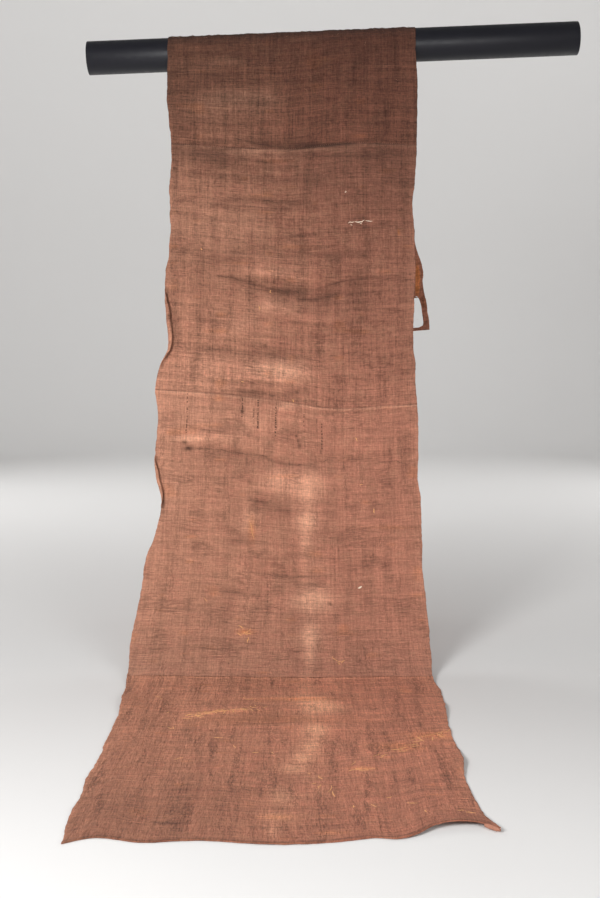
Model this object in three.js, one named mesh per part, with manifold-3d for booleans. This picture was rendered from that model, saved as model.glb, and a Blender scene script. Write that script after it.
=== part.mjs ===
// A long plain kuba cloth of raffia panels, hung over a round rod.
// Its short end hangs behind the rod. Its long end falls in front and runs out flat on the floor.
// Millimetres, +Z up, the front of the cloth facing -Y.
// The origin is on the floor under the middle of the part.
import * as THREE from "three";
import { mergeVertices } from "three/addons/utils/BufferGeometryUtils.js";
import Module from "manifold-3d";

const wasm = await Module();
wasm.setup();

// The rod. It rises towards +X by rise degrees, and y is its distance behind the origin.
const rod = { length: 1500, radius: 50, rise: 2.3, y: 896, sides: 48 };

// The cloth's own sizes. Across is measured from its middle thread, which hangs at middleX.
const cloth = { width: 750, thickness: 2, seamGap: 0.4, middleX: -125, rodClearance: 1.0 };

// The fall from the rod to the floor is a hanging curve: its slope grows with the length above the floor.
const fall = { height: 1740, bendLength: 380, bendPower: 1.1, floorRun: 1000, backDrop: 900, step: 4 };

// Mesh spacing. A column is a step across the cloth, a row is a step along it.
const mesh = { rowStep: 36, rodRowStep: 14, columnStep: 54, selvedgeColumns: [9, 22] };

// The cloth's edges, from the back hem over the rod to the front hem.
// along: length of cloth past the line where the front leaves the rod, less than 0 over and behind it.
// left, right: the selvedges' distance from the middle thread.
// rise: the slope of a crosswise thread towards +X, in degrees.
const sections = [
  { along: -1060, left: -332, right: 436, rise: 4.6 },
  { along: -1005, left: -335, right: 432, rise: 4.5 },
  { along: -945, left: -341, right: 423, rise: 4.3 },
  { along: -900, left: -345, right: 414, rise: 4.2 },
  { along: -850, left: -350, right: 412, rise: 4.1 },
  { along: -805, left: -353, right: 401, rise: 3.9 },
  { along: -750, left: -358, right: 386, rise: 3.8 },
  { along: -600, left: -368, right: 374, rise: 3.4 },
  { along: -400, left: -374, right: 372, rise: 2.9 },
  { along: -160, left: -375, right: 374, rise: 2.3 },
  { along: 0, left: -374, right: 374, rise: 2.3 },
  { along: 60, left: -377, right: 376, rise: 2.1 },
  { along: 170, left: -375, right: 379, rise: 1.2 },
  { along: 300, left: -363, right: 375, rise: 0.2 },
  { along: 360, left: -361, right: 375, rise: 0 },
  { along: 420, left: -366, right: 370, rise: 0 },
  { along: 480, left: -365, right: 363, rise: 0 },
  { along: 600, left: -362, right: 367, rise: 0 },
  { along: 720, left: -375, right: 369, rise: 0 },
  { along: 790, left: -375, right: 363, rise: 0 },
  { along: 850, left: -368, right: 360, rise: 0 },
  { along: 940, left: -364, right: 359, rise: 0 },
  { along: 1000, left: -389, right: 364, rise: 0 },
  { along: 1060, left: -397, right: 364, rise: 0 },
  { along: 1150, left: -386, right: 366, rise: 0 },
  { along: 1270, left: -391, right: 365, rise: 0 },
  { along: 1330, left: -385, right: 362, rise: 0 },
  { along: 1390, left: -369, right: 367, rise: 0 },
  { along: 1455, left: -372, right: 366, rise: 0 },
  { along: 1515, left: -384, right: 366, rise: 0 },
  { along: 1575, left: -403, right: 363, rise: 0 },
  { along: 1700, left: -410, right: 367, rise: 0 },
  { along: 1835, left: -421, right: 368, rise: 0 },
  { along: 1950, left: -415, right: 362, rise: 0 },
  { along: 2015, left: -410, right: 360, rise: 0 },
  { along: 2090, left: -404, right: 369, rise: 0 },
  { along: 2320, left: -392, right: 360, rise: 0 },
  { along: 2450, left: -392, right: 356, rise: 0 },
  { along: 2590, left: -391, right: 360, rise: 0 },
  { along: 2690, left: -396, right: 351, rise: 0 },
  { along: 2800, left: -390, right: 354, rise: 0 },
  { along: 2900, left: -395, right: 362, rise: 0 },
  { along: 2960, left: -389, right: 380, rise: 0 },
  { along: 3015, left: -384, right: 372, rise: 0 },
];

// Where one panel ends and the next begins: how far along each line lies, at its places across the cloth.
const seams = {
  backHem: [
    { across: -332, along: -1046 },
    { across: 436, along: -1044 },
  ],
  backSeam: [
    { across: -370, along: -497 },
    { across: 0, along: -506 },
    { across: 375, along: -500 },
  ],
  rodSeam: [
    { across: -362, along: 308 },
    { across: -150, along: 323 },
    { across: 0, along: 326 },
    { across: 160, along: 308 },
    { across: 375, along: 314 },
  ],
  middleSeam: [
    { across: -397, along: 1062 },
    { across: -190, along: 1076 },
    { across: -50, along: 1092 },
    { across: 120, along: 1118 },
    { across: 364, along: 1106 },
  ],
  floorSeam: [
    { across: -412, along: 1996 },
    { across: 0, along: 2004 },
    { across: 361, along: 1998 },
  ],
  frontHem: [
    { across: -389, along: 3013 },
    { across: -332, along: 2984 },
    { across: -250, along: 3004 },
    { across: -147, along: 2996 },
    { across: -23, along: 3012 },
    { across: 77, along: 3004 },
    { across: 150, along: 2984 },
    { across: 190, along: 2990 },
    { across: 226, along: 2974 },
    { across: 262, along: 2946 },
    { across: 340, along: 2934 },
    { across: 380, along: 2960 },
  ],
};

// Soft ridges and troughs that run across the cloth. left and right are their ends, measured across.
// atLeft and atRight say how far along each end lies, and sag how much lower the middle is.
// spread is the half width, and height is towards the viewer, so a trough is less than 0.
const folds = [
  { name: "arch", left: -330, right: -35, atLeft: 125, atRight: 165, sag: -75, spread: 30, height: 5 },
  { name: "first swag", left: -190, right: 90, atLeft: 335, atRight: 345, sag: 25, spread: 24, height: 5 },
  { name: "second swag", left: -330, right: 40, atLeft: 392, atRight: 402, sag: 0, spread: 26, height: -5 },
  { name: "shallow dip", left: -160, right: 150, atLeft: 482, atRight: 480, sag: 0, spread: 28, height: -4 },
  { name: "upper roll", left: -190, right: 160, atLeft: 650, atRight: 690, sag: 30, spread: 34, height: 7 },
  { name: "deep swag", left: -260, right: 375, atLeft: 700, atRight: 728, sag: 45, spread: 28, height: -9 },
  { name: "lower roll", left: -120, right: 180, atLeft: 790, atRight: 800, sag: 50, spread: 32, height: 6 },
  { name: "dashed trough", left: -350, right: 30, atLeft: 918, atRight: 972, sag: 4, spread: 28, height: -5 },
  { name: "seam bulge", left: -170, right: 100, atLeft: 1005, atRight: 1010, sag: 15, spread: 34, height: 9 },
  { name: "seam hollow", left: -230, right: 60, atLeft: 1072, atRight: 1085, sag: 0, spread: 26, height: -6 },
  { name: "seam lip", left: -110, right: 60, atLeft: 1118, atRight: 1140, sag: 0, spread: 26, height: 5 },
  { name: "shelf", left: -370, right: -130, atLeft: 1190, atRight: 1200, sag: 0, spread: 26, height: 6 },
  { name: "crease", left: -340, right: 310, atLeft: 1232, atRight: 1270, sag: 26, spread: 28, height: -7 },
  { name: "pale bulge", left: -80, right: 130, atLeft: 1330, atRight: 1330, sag: 0, spread: 40, height: 7 },
  { name: "short crease", left: -150, right: 0, atLeft: 1392, atRight: 1402, sag: 0, spread: 26, height: -4 },
  { name: "low crease", left: -140, right: 110, atLeft: 1608, atRight: 1625, sag: 8, spread: 30, height: -5 },
  { name: "floor ridge", left: -260, right: 60, atLeft: 2290, atRight: 2240, sag: 0, spread: 40, height: 5 },
  { name: "ripple", left: -120, right: 180, atLeft: 2420, atRight: 2400, sag: -20, spread: 45, height: 5 },
];

// Broad swells of the cloth, with their middle, their half widths across and along, and their height.
const swells = [
  { name: "left edge stands forward", across: -385, along: 1260, wide: 45, long: 60, height: 14 },
  { name: "left edge turns back", across: -372, along: 1400, wide: 50, long: 45, height: -10 },
  { name: "middle of the fall", across: 40, along: 800, wide: 220, long: 260, height: -8 },
  { name: "right side of the fall", across: 260, along: 1500, wide: 140, long: 300, height: 6 },
  { name: "left side of the fall", across: -260, along: 1750, wide: 150, long: 220, height: 8 },
  { name: "raised arch of the hem", across: 305, along: 2975, wide: 58, long: 70, height: 14 },
  { name: "raised right side", across: 370, along: 2240, wide: 40, long: 60, height: 5 },
  { name: "raised scallop", across: 365, along: 2600, wide: 40, long: 60, height: 6 },
  { name: "raised left side", across: -400, along: 2200, wide: 45, long: 80, height: 9 },
  { name: "back panel's belly", across: 60, along: -760, wide: 240, long: 200, height: 8 },
  { name: "back panel's right edge", across: 400, along: -860, wide: 60, long: 90, height: 6 },
];

// Lengths over which the left selvedge rolls towards the viewer.
const selvedgeRolls = [
  { name: "roll in the fall", from: 770, to: 990, width: 24, height: 12 },
  { name: "small roll below it", from: 1270, to: 1400, width: 20, height: 8 },
];

// The tear in the back panel's right corner, which leaves a strip of selvedge and hem around it.
// across is as for the cloth, and drop is the height under the rod's axis at that place.
const tear = [
  { across: 392, drop: 745 },
  { across: 402, drop: 756 },
  { across: 408, drop: 775 },
  { across: 412, drop: 803 },
  { across: 416, drop: 832 },
  { across: 413, drop: 844 },
  { across: 392, drop: 849 },
  { across: 350, drop: 851 },
  { across: 344, drop: 838 },
  { across: 362, drop: 806 },
  { across: 371, drop: 772 },
];

// Relief fades out over the first length where the cloth meets the rod.
// Over the second, on the way to the floor, it is left with its ridges alone.
const reliefFadeLength = 90;
const floorFadeLength = 120;
const tearDepth = 60;
const degrees = Math.PI / 180;

// Smooth steps and table readers

/** 0 below a, 1 above b, and smooth between them. */
function ease(value, a, b) {
  return THREE.MathUtils.smoothstep(value, a, b);
}

/** The value of a table's column at a place, on smooth curves through its rows. */
function readTable(rows, key, place, column) {
  const last = rows.length - 1;
  if (place <= rows[0][key]) return rows[0][column];
  if (place >= rows[last][key]) return rows[last][column];
  const i = rows.findIndex((row) => row[key] > place) - 1;
  const slope = (k) => {
    const before = rows[Math.max(k - 1, 0)];
    const after = rows[Math.min(k + 1, last)];
    return (after[column] - before[column]) / (after[key] - before[key]);
  };
  const span = rows[i + 1][key] - rows[i][key];
  const t = (place - rows[i][key]) / span;
  const start = (1 + 2 * t) * (1 - t) ** 2 * rows[i][column] + t * (1 - t) ** 2 * span * slope(i);
  const end = t ** 2 * (3 - 2 * t) * rows[i + 1][column] + t ** 2 * (t - 1) * span * slope(i + 1);
  return start + end;
}

// The side line: the path of the cloth's middle layer, seen from the side

/** Points of the side line from the back hem to the front hem, each with its along, y, z and slope. */
function makeSideLine() {
  const slopeAt = (up) => Math.atan((up / fall.bendLength) ** fall.bendPower);
  const front = [];
  let up = 0;
  let reach = 0;
  let z = cloth.thickness / 2;
  while (z < fall.height) {
    front.push({ up, reach, z, slope: slopeAt(up) });
    const middleSlope = slopeAt(up + fall.step / 2);
    reach += fall.step * Math.cos(middleSlope);
    z += fall.step * Math.sin(middleSlope);
    up += fall.step;
  }
  const top = { up, reach, z, slope: slopeAt(up) };

  // Over the rod the cloth's middle layer follows a circle, from its leaving point round to the back.
  const radius = rod.radius + cloth.rodClearance + cloth.thickness / 2;
  const axisY = rod.y;
  const axisZ = top.z - radius * Math.cos(top.slope);
  const leaveY = axisY - radius * Math.sin(top.slope);
  const wrap = radius * (top.slope + Math.PI / 2);

  const line = [];
  const backY = axisY + radius;
  line.push({ along: -wrap - fall.backDrop, y: backY, z: axisZ - fall.backDrop, slope: -Math.PI / 2 });
  for (let gone = wrap; gone > 0; gone -= fall.step) {
    const slope = top.slope - gone / radius;
    line.push({
      along: -gone,
      y: axisY - radius * Math.sin(slope),
      z: axisZ + radius * Math.cos(slope),
      slope,
    });
  }
  line.push({ along: 0, y: leaveY, z: top.z, slope: top.slope });
  for (const point of front.reverse()) {
    const { up: above, reach: out, z: height, slope } = point;
    line.push({ along: top.up - above, y: leaveY - (top.reach - out), z: height, slope });
  }
  const landing = line[line.length - 1];
  line.push({ along: landing.along + fall.floorRun, y: landing.y - fall.floorRun, z: landing.z, slope: 0 });
  return { points: line, wrap, landing: landing.along, axisZ };
}

const sideLine = makeSideLine();

/** The side line's place and slope at a length along the cloth. */
function sidePoint(along) {
  const points = sideLine.points;
  const i = Math.max(points.findIndex((point) => point.along > along), 1);
  const a = points[i - 1];
  const b = points[i];
  const t = (along - a.along) / (b.along - a.along);
  return {
    y: THREE.MathUtils.lerp(a.y, b.y, t),
    z: THREE.MathUtils.lerp(a.z, b.z, t),
    slope: THREE.MathUtils.lerp(a.slope, b.slope, t),
  };
}

// Relief: how far the cloth stands off its side line

/** The height of one long fold at a place on the cloth. */
function foldHeight(fold, across, along) {
  const t = (across - fold.left) / (fold.right - fold.left);
  if (t <= 0 || t >= 1) return 0;
  const ridge = THREE.MathUtils.lerp(fold.atLeft, fold.atRight, t) + fold.sag * 4 * t * (1 - t);
  return fold.height * Math.sin(Math.PI * t) * Math.exp(-(((along - ridge) / fold.spread) ** 2));
}

/** The height of one broad swell at a place on the cloth. */
function swellHeight(swell, across, along) {
  const u = (across - swell.across) / swell.wide;
  const v = (along - swell.along) / swell.long;
  return swell.height * Math.exp(-(u ** 2) - v ** 2);
}

/** How far the left selvedge's roll lifts a place that lies a distance in from that edge. */
function rollHeight(roll, fromEdge, along) {
  if (fromEdge >= roll.width || along <= roll.from || along >= roll.to) return 0;
  const share = Math.sin((Math.PI * (along - roll.from)) / (roll.to - roll.from));
  return roll.height * share * (1 - fromEdge / roll.width) ** 2;
}

/** The cloth's whole relief: none where it lies on the rod, and never under the floor. */
function relief(across, along, leftEdge) {
  let height = 0;
  for (const fold of folds) height += foldHeight(fold, across, along);
  for (const swell of swells) height += swellHeight(swell, across, along);
  for (const roll of selvedgeRolls) height += rollHeight(roll, across - leftEdge, along);
  const offRod = ease(along, 0, reliefFadeLength) + ease(-along - sideLine.wrap, 0, reliefFadeLength);
  const nearFloor = sideLine.landing - floorFadeLength;
  const onFloor = ease(along, nearFloor - floorFadeLength, nearFloor);
  const lifted = Math.max(height, 0);
  return offRod * THREE.MathUtils.lerp(height, lifted, onFloor);
}

// The surface and its panels

/** A point of the cloth's middle layer, from its share of the width and its length along the cloth. */
function clothPoint(share, along) {
  const left = readTable(sections, "along", along, "left");
  const right = readTable(sections, "along", along, "right");
  const across = THREE.MathUtils.lerp(left, right, share);
  const rise = readTable(sections, "along", along, "rise");
  const side = sidePoint(along);
  const height = relief(across, along, left);
  return new THREE.Vector3(
    cloth.middleX + across,
    side.y - height * Math.sin(side.slope),
    side.z + height * Math.cos(side.slope) + across * Math.tan(rise * degrees),
  );
}

/** The cloth's outward direction at a place: the viewer's side in front, up on the floor. */
function clothNormal(share, along) {
  const shareStep = 0.01;
  const alongStep = 5;
  const leftPoint = clothPoint(Math.max(share - shareStep, 0), along);
  const right = clothPoint(Math.min(share + shareStep, 1), along).sub(leftPoint);
  const down = clothPoint(share, along + alongStep).sub(clothPoint(share, along - alongStep));
  return down.cross(right).normalize();
}

/** The share of the width at which each column of points lies, with narrow columns at the selvedges. */
function columnShares(width) {
  const inset = mesh.selvedgeColumns;
  const inner = inset[inset.length - 1];
  const count = Math.round((width - 2 * inner) / mesh.columnStep);
  const places = [0, ...inset];
  for (let i = 1; i < count; i++) places.push(inner + ((width - 2 * inner) * i) / count);
  places.push(...inset.map((distance) => width - distance).reverse(), width);
  return places.map((place) => place / width);
}

/** The lengths along the cloth of a panel's rows, with short steps where it bends over the rod. */
function rowPlaces(from, to) {
  const places = [from];
  while (to - places[places.length - 1] > 1e-6) {
    const here = places[places.length - 1];
    const overRod = here > -sideLine.wrap - mesh.rowStep && here < mesh.rodRowStep;
    const step = overRod ? mesh.rodRowStep : mesh.rowStep;
    const rest = to - here;
    places.push(rest < step * 1.5 ? to : here + step);
  }
  return places;
}

/** One panel of the cloth: a closed sheet between two seam lines. */
function panelGeometry(startSeam, endSeam, startGap, endGap) {
  const middleOf = (seam) => readTable(seam, "across", 0, "along");
  const from = middleOf(startSeam);
  const to = middleOf(endSeam);
  const shares = columnShares(cloth.width);
  const places = rowPlaces(from, to);
  const positions = [];
  for (const side of [1, -1]) {
    for (const place of places) {
      for (const share of shares) {
        const left = readTable(sections, "along", place, "left");
        const right = readTable(sections, "along", place, "right");
        const across = THREE.MathUtils.lerp(left, right, share);
        const start = readTable(startSeam, "across", across, "along") + startGap;
        const end = readTable(endSeam, "across", across, "along") - endGap;
        const along = THREE.MathUtils.mapLinear(place, from, to, start, end);
        const point = clothPoint(share, along);
        point.addScaledVector(clothNormal(share, along), (side * cloth.thickness) / 2);
        if (point.z < 0) point.z = 0;
        positions.push(point.x, point.y, point.z);
      }
    }
  }

  const columns = shares.length;
  const rows = places.length;
  const layer = columns * rows;
  const indices = [];
  const quad = (a, b, c, d) => indices.push(a, b, c, a, c, d);
  for (let r = 0; r < rows - 1; r++) {
    for (let c = 0; c < columns - 1; c++) {
      const here = r * columns + c;
      const below = here + columns;
      quad(here, below, below + 1, here + 1);
      quad(layer + here, layer + here + 1, layer + below + 1, layer + below);
    }
  }
  const rim = (a, b) => quad(a, b, layer + b, layer + a);
  for (let c = 0; c < columns - 1; c++) {
    rim(c, c + 1);
    rim((rows - 1) * columns + c + 1, (rows - 1) * columns + c);
  }
  for (let r = 0; r < rows - 1; r++) {
    rim((r + 1) * columns, r * columns);
    rim((r + 1) * columns - 1, (r + 2) * columns - 1);
  }
  const geometry = new THREE.BufferGeometry();
  geometry.setAttribute("position", new THREE.Float32BufferAttribute(positions, 3));
  geometry.setIndex(indices);
  return geometry;
}

/** A closed geometry as a solid that can be cut. */
function toSolid(geometry) {
  const bare = new THREE.BufferGeometry();
  bare.setAttribute("position", geometry.getAttribute("position"));
  bare.setIndex(geometry.getIndex());
  const merged = mergeVertices(bare, 1e-4);
  return new wasm.Manifold(
    new wasm.Mesh({
      numProp: 3,
      vertProperties: new Float32Array(merged.getAttribute("position").array),
      triVerts: new Uint32Array(merged.getIndex().array),
    }),
  );
}

/** A cut solid as a geometry again. */
function fromSolid(solid) {
  const cut = solid.getMesh();
  const geometry = new THREE.BufferGeometry();
  geometry.setAttribute("position", new THREE.BufferAttribute(new Float32Array(cut.vertProperties), 3));
  geometry.setIndex(new THREE.BufferAttribute(new Uint32Array(cut.triVerts), 1));
  return geometry;
}

/** The tear's outline pushed through the back panel. */
function tearSolid() {
  const placeOf = ({ across, drop }) => new THREE.Vector2(cloth.middleX + across, sideLine.axisZ - drop);
  const corners = tear.map(placeOf);
  const shape = new THREE.Shape(corners.reverse());
  const geometry = new THREE.ExtrudeGeometry(shape, { depth: 2 * tearDepth, bevelEnabled: false });
  geometry.rotateX(Math.PI / 2);
  geometry.translate(0, rod.y + rod.radius + tearDepth, 0);
  return toSolid(geometry);
}

// The part

/** A named piece of the part in its own colour. */
function piece(name, geometry, color, roughness) {
  const flat = geometry.index ? geometry.toNonIndexed() : geometry;
  flat.computeVertexNormals();
  const made = new THREE.Mesh(flat, new THREE.MeshStandardMaterial({ color, roughness, metalness: 0 }));
  made.name = name;
  return made;
}

/** The round rod, turned from upright to lie along X and then raised at its +X end. */
function makeRod() {
  const geometry = new THREE.CylinderGeometry(rod.radius, rod.radius, rod.length, rod.sides);
  geometry.rotateZ(-Math.PI / 2);
  const made = piece("rod", geometry, 0x0d0d12, 0.35);
  made.rotation.y = -rod.rise * degrees;
  made.position.set(0, rod.y, sideLine.axisZ - cloth.middleX * Math.tan(rod.rise * degrees));
  return made;
}

/** The five panels of the cloth, from the back hem to the front hem. */
function makePanels() {
  const gap = cloth.seamGap / 2;
  const tornBack = fromSolid(
    toSolid(panelGeometry(seams.backHem, seams.backSeam, 0, gap)).subtract(tearSolid()),
  );
  return [
    piece("back_panel", tornBack, 0x6e4a3c, 0.95),
    piece("top_panel", panelGeometry(seams.backSeam, seams.rodSeam, gap, gap), 0x73503f, 0.95),
    piece("upper_front_panel", panelGeometry(seams.rodSeam, seams.middleSeam, gap, gap), 0x855a48, 0.95),
    piece("middle_front_panel", panelGeometry(seams.middleSeam, seams.floorSeam, gap, gap), 0x915f4c, 0.95),
    piece("floor_panel", panelGeometry(seams.floorSeam, seams.frontHem, gap, 0), 0x96624e, 0.95),
  ];
}

const part = new THREE.Group();
part.add(makeRod(), ...makePanels());

export default part;
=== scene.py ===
"""A long plain kuba cloth of raffia panels, hung over a round rod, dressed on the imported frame.

Places on the cloth are given as a weaver would measure them, in millimetres: across, from the cloth's
middle thread, and along, from the line where the front leaves the rod. Along is less than 0 over and
behind the rod. Everything that Blender gets is in metres.
"""

from __future__ import annotations

import logging
import math
from dataclasses import dataclass, field
from enum import Enum, IntEnum
from functools import lru_cache

import bpy
import numpy as np
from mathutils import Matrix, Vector

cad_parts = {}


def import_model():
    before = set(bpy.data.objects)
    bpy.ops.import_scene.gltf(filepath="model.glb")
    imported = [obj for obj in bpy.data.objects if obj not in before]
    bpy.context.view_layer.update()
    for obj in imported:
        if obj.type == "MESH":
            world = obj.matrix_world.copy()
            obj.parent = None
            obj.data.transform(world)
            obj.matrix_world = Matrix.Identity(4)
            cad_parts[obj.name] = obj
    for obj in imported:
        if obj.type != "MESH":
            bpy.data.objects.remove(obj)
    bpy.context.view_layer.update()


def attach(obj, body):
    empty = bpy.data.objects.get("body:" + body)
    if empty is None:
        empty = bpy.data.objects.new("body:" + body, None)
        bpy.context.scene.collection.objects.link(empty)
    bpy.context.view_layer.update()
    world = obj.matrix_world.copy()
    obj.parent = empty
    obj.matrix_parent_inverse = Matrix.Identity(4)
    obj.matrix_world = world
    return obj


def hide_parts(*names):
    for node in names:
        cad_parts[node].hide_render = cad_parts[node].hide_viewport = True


LOG = logging.getLogger("kuba_cloth")
MM = 0.001
UV_NAME = "cloth"
LATTICE = 256
FLOAT, VECTOR, GEOMETRY = "NodeSocketFloat", "NodeSocketVector", "NodeSocketGeometry"
Socket = bpy.types.NodeSocket


class Seed(IntEnum):
    """The fixed seeds of the numbers that shape and paint the cloth at random."""

    LEFT_EDGE = 11
    RIGHT_EDGE = 21
    EDGE_WAVE = 31
    CRUMPLE = 41
    CREST = 51
    HEM_LINE = 61
    LAP = 63
    AMBER = 71
    CREASE_BREAK = 72
    # Seeds the painted shadow and dirt along the seams.
    SEAM_SHADOW_AND_DIRT = 73
    STRAND_BOW = 91
    HEM_LUMPS = 95
    STRANDS = 17


# Tables of the cloth's shape


@dataclass(frozen=True)
class Section:
    """One crosswise section: its edges from the middle thread, and the rise of its weft in degrees."""

    along: float
    left: float
    right: float
    rise: float = 0.0


@dataclass(frozen=True)
class SeamPoint:
    """How far along a seam or hem lies, at one place across the cloth."""

    across: float
    along: float


@dataclass(frozen=True)
class Fold:
    """A soft ridge, or a trough where its height is less than 0, that runs across the cloth, with painted
    shade and dirt along it.
    """

    left: float
    right: float
    at_left: float
    at_right: float
    sag: float
    spread: float
    height: float
    shade_and_dirt: float = 0.0


@dataclass(frozen=True)
class Swell:
    """A broad rise or hollow, or a soft mark of the same form."""

    across: float
    along: float
    wide: float
    long: float
    height: float


@dataclass(frozen=True)
class Roll:
    """A length of the left selvedge that curls towards the viewer: its arc and its radius."""

    start: float
    end: float
    width: float
    radius: float


@dataclass(frozen=True)
class Slit:
    """A warp line where threads have parted, as a ladder of small dark gaps."""

    across: float
    start: float
    end: float
    width: float
    strength: float


@dataclass(frozen=True)
class Strand:
    """A loose or undyed strand that lies on the cloth between two places."""

    across: float
    along: float
    to_across: float
    to_along: float
    width: float


@dataclass(frozen=True)
class Tone:
    """Mostly painted light and shade: how light the cloth is near its left and right selvedges, as a share of
    its finish's colour.
    """

    along: float
    left: float
    right: float


@dataclass(frozen=True)
class StrandRun:
    """A run of short strands that have worked out of the weave, and how far each may stray from it."""

    across: float
    along: float
    to_across: float
    to_along: float
    count: int
    length: float
    stray: float


SECTIONS = (
    Section(-1060, -332, 436, 4.6),
    Section(-1005, -335, 432, 4.5),
    Section(-945, -341, 423, 4.3),
    Section(-900, -345, 414, 4.2),
    Section(-850, -350, 412, 4.1),
    Section(-805, -353, 401, 3.9),
    Section(-750, -358, 386, 3.8),
    Section(-600, -368, 374, 3.4),
    Section(-400, -374, 372, 2.9),
    Section(-160, -375, 374, 2.3),
    Section(0, -374, 374, 2.3),
    Section(60, -377, 376, 2.1),
    Section(170, -375, 379, 1.2),
    Section(300, -363, 375, 0.2),
    Section(360, -361, 375),
    Section(420, -366, 370),
    Section(480, -365, 363),
    Section(600, -362, 367),
    Section(720, -375, 369),
    Section(790, -375, 363),
    Section(850, -368, 360),
    Section(940, -364, 359),
    Section(1000, -389, 364),
    Section(1060, -397, 364),
    Section(1150, -386, 366),
    Section(1270, -391, 365),
    Section(1330, -385, 362),
    Section(1390, -369, 367),
    Section(1455, -372, 366),
    Section(1515, -384, 366),
    Section(1575, -403, 363),
    Section(1700, -410, 367),
    Section(1835, -421, 368),
    Section(1950, -415, 362),
    Section(2015, -410, 360),
    Section(2090, -404, 369),
    Section(2320, -392, 360),
    Section(2450, -392, 356),
    Section(2590, -391, 360),
    Section(2690, -396, 351),
    Section(2800, -390, 354),
    Section(2900, -395, 362),
    Section(2960, -389, 380),
    Section(3015, -384, 372),
)

BACK_HEM = (SeamPoint(-332, -1046), SeamPoint(436, -1044))
BACK_SEAM = (SeamPoint(-370, -497), SeamPoint(0, -506), SeamPoint(375, -500))
ROD_SEAM = (
    SeamPoint(-362, 308),
    SeamPoint(-150, 323),
    SeamPoint(0, 326),
    SeamPoint(160, 308),
    SeamPoint(375, 314),
)
MIDDLE_SEAM = (
    SeamPoint(-397, 1062),
    SeamPoint(-190, 1076),
    SeamPoint(-50, 1092),
    SeamPoint(120, 1118),
    SeamPoint(364, 1106),
)
FLOOR_SEAM = (SeamPoint(-412, 1996), SeamPoint(0, 2004), SeamPoint(361, 1998))
FRONT_HEM = (
    SeamPoint(-389, 3013),
    SeamPoint(-332, 2984),
    SeamPoint(-250, 3004),
    SeamPoint(-147, 2996),
    SeamPoint(-23, 3012),
    SeamPoint(77, 3004),
    SeamPoint(150, 2984),
    SeamPoint(190, 2990),
    SeamPoint(226, 2974),
    SeamPoint(262, 2946),
    SeamPoint(340, 2934),
    SeamPoint(380, 2960),
)

# The main folds, as in the solids, and then the finer creases between them. A crease's last number is the
# painted shade and dirt along it.
FOLDS = (
    Fold(-330, -35, 125, 165, -75, 30, 5),
    Fold(-190, 90, 335, 345, 25, 24, 5),
    Fold(-330, 40, 392, 402, 0, 26, -5),
    Fold(-160, 150, 482, 480, 0, 28, -4),
    Fold(-190, 160, 650, 690, 30, 34, 7),
    Fold(-260, 375, 700, 728, 45, 28, -9),
    Fold(-120, 180, 790, 800, 50, 32, 6),
    Fold(-350, 30, 918, 972, 4, 28, -5),
    Fold(-170, 100, 1005, 1010, 15, 34, 9),
    Fold(-230, 60, 1072, 1085, 0, 26, -6),
    Fold(-110, 60, 1118, 1140, 0, 26, 5),
    Fold(-370, -130, 1190, 1200, 0, 26, 6),
    Fold(-340, 310, 1232, 1270, 26, 28, -7),
    Fold(-80, 130, 1330, 1330, 0, 40, 7),
    Fold(-150, 0, 1392, 1402, 0, 26, -4),
    Fold(-140, 110, 1608, 1625, 8, 30, -5),
    Fold(-260, 60, 2290, 2240, 0, 40, 5),
    Fold(-120, 180, 2420, 2400, -20, 45, 5),
)
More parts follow.
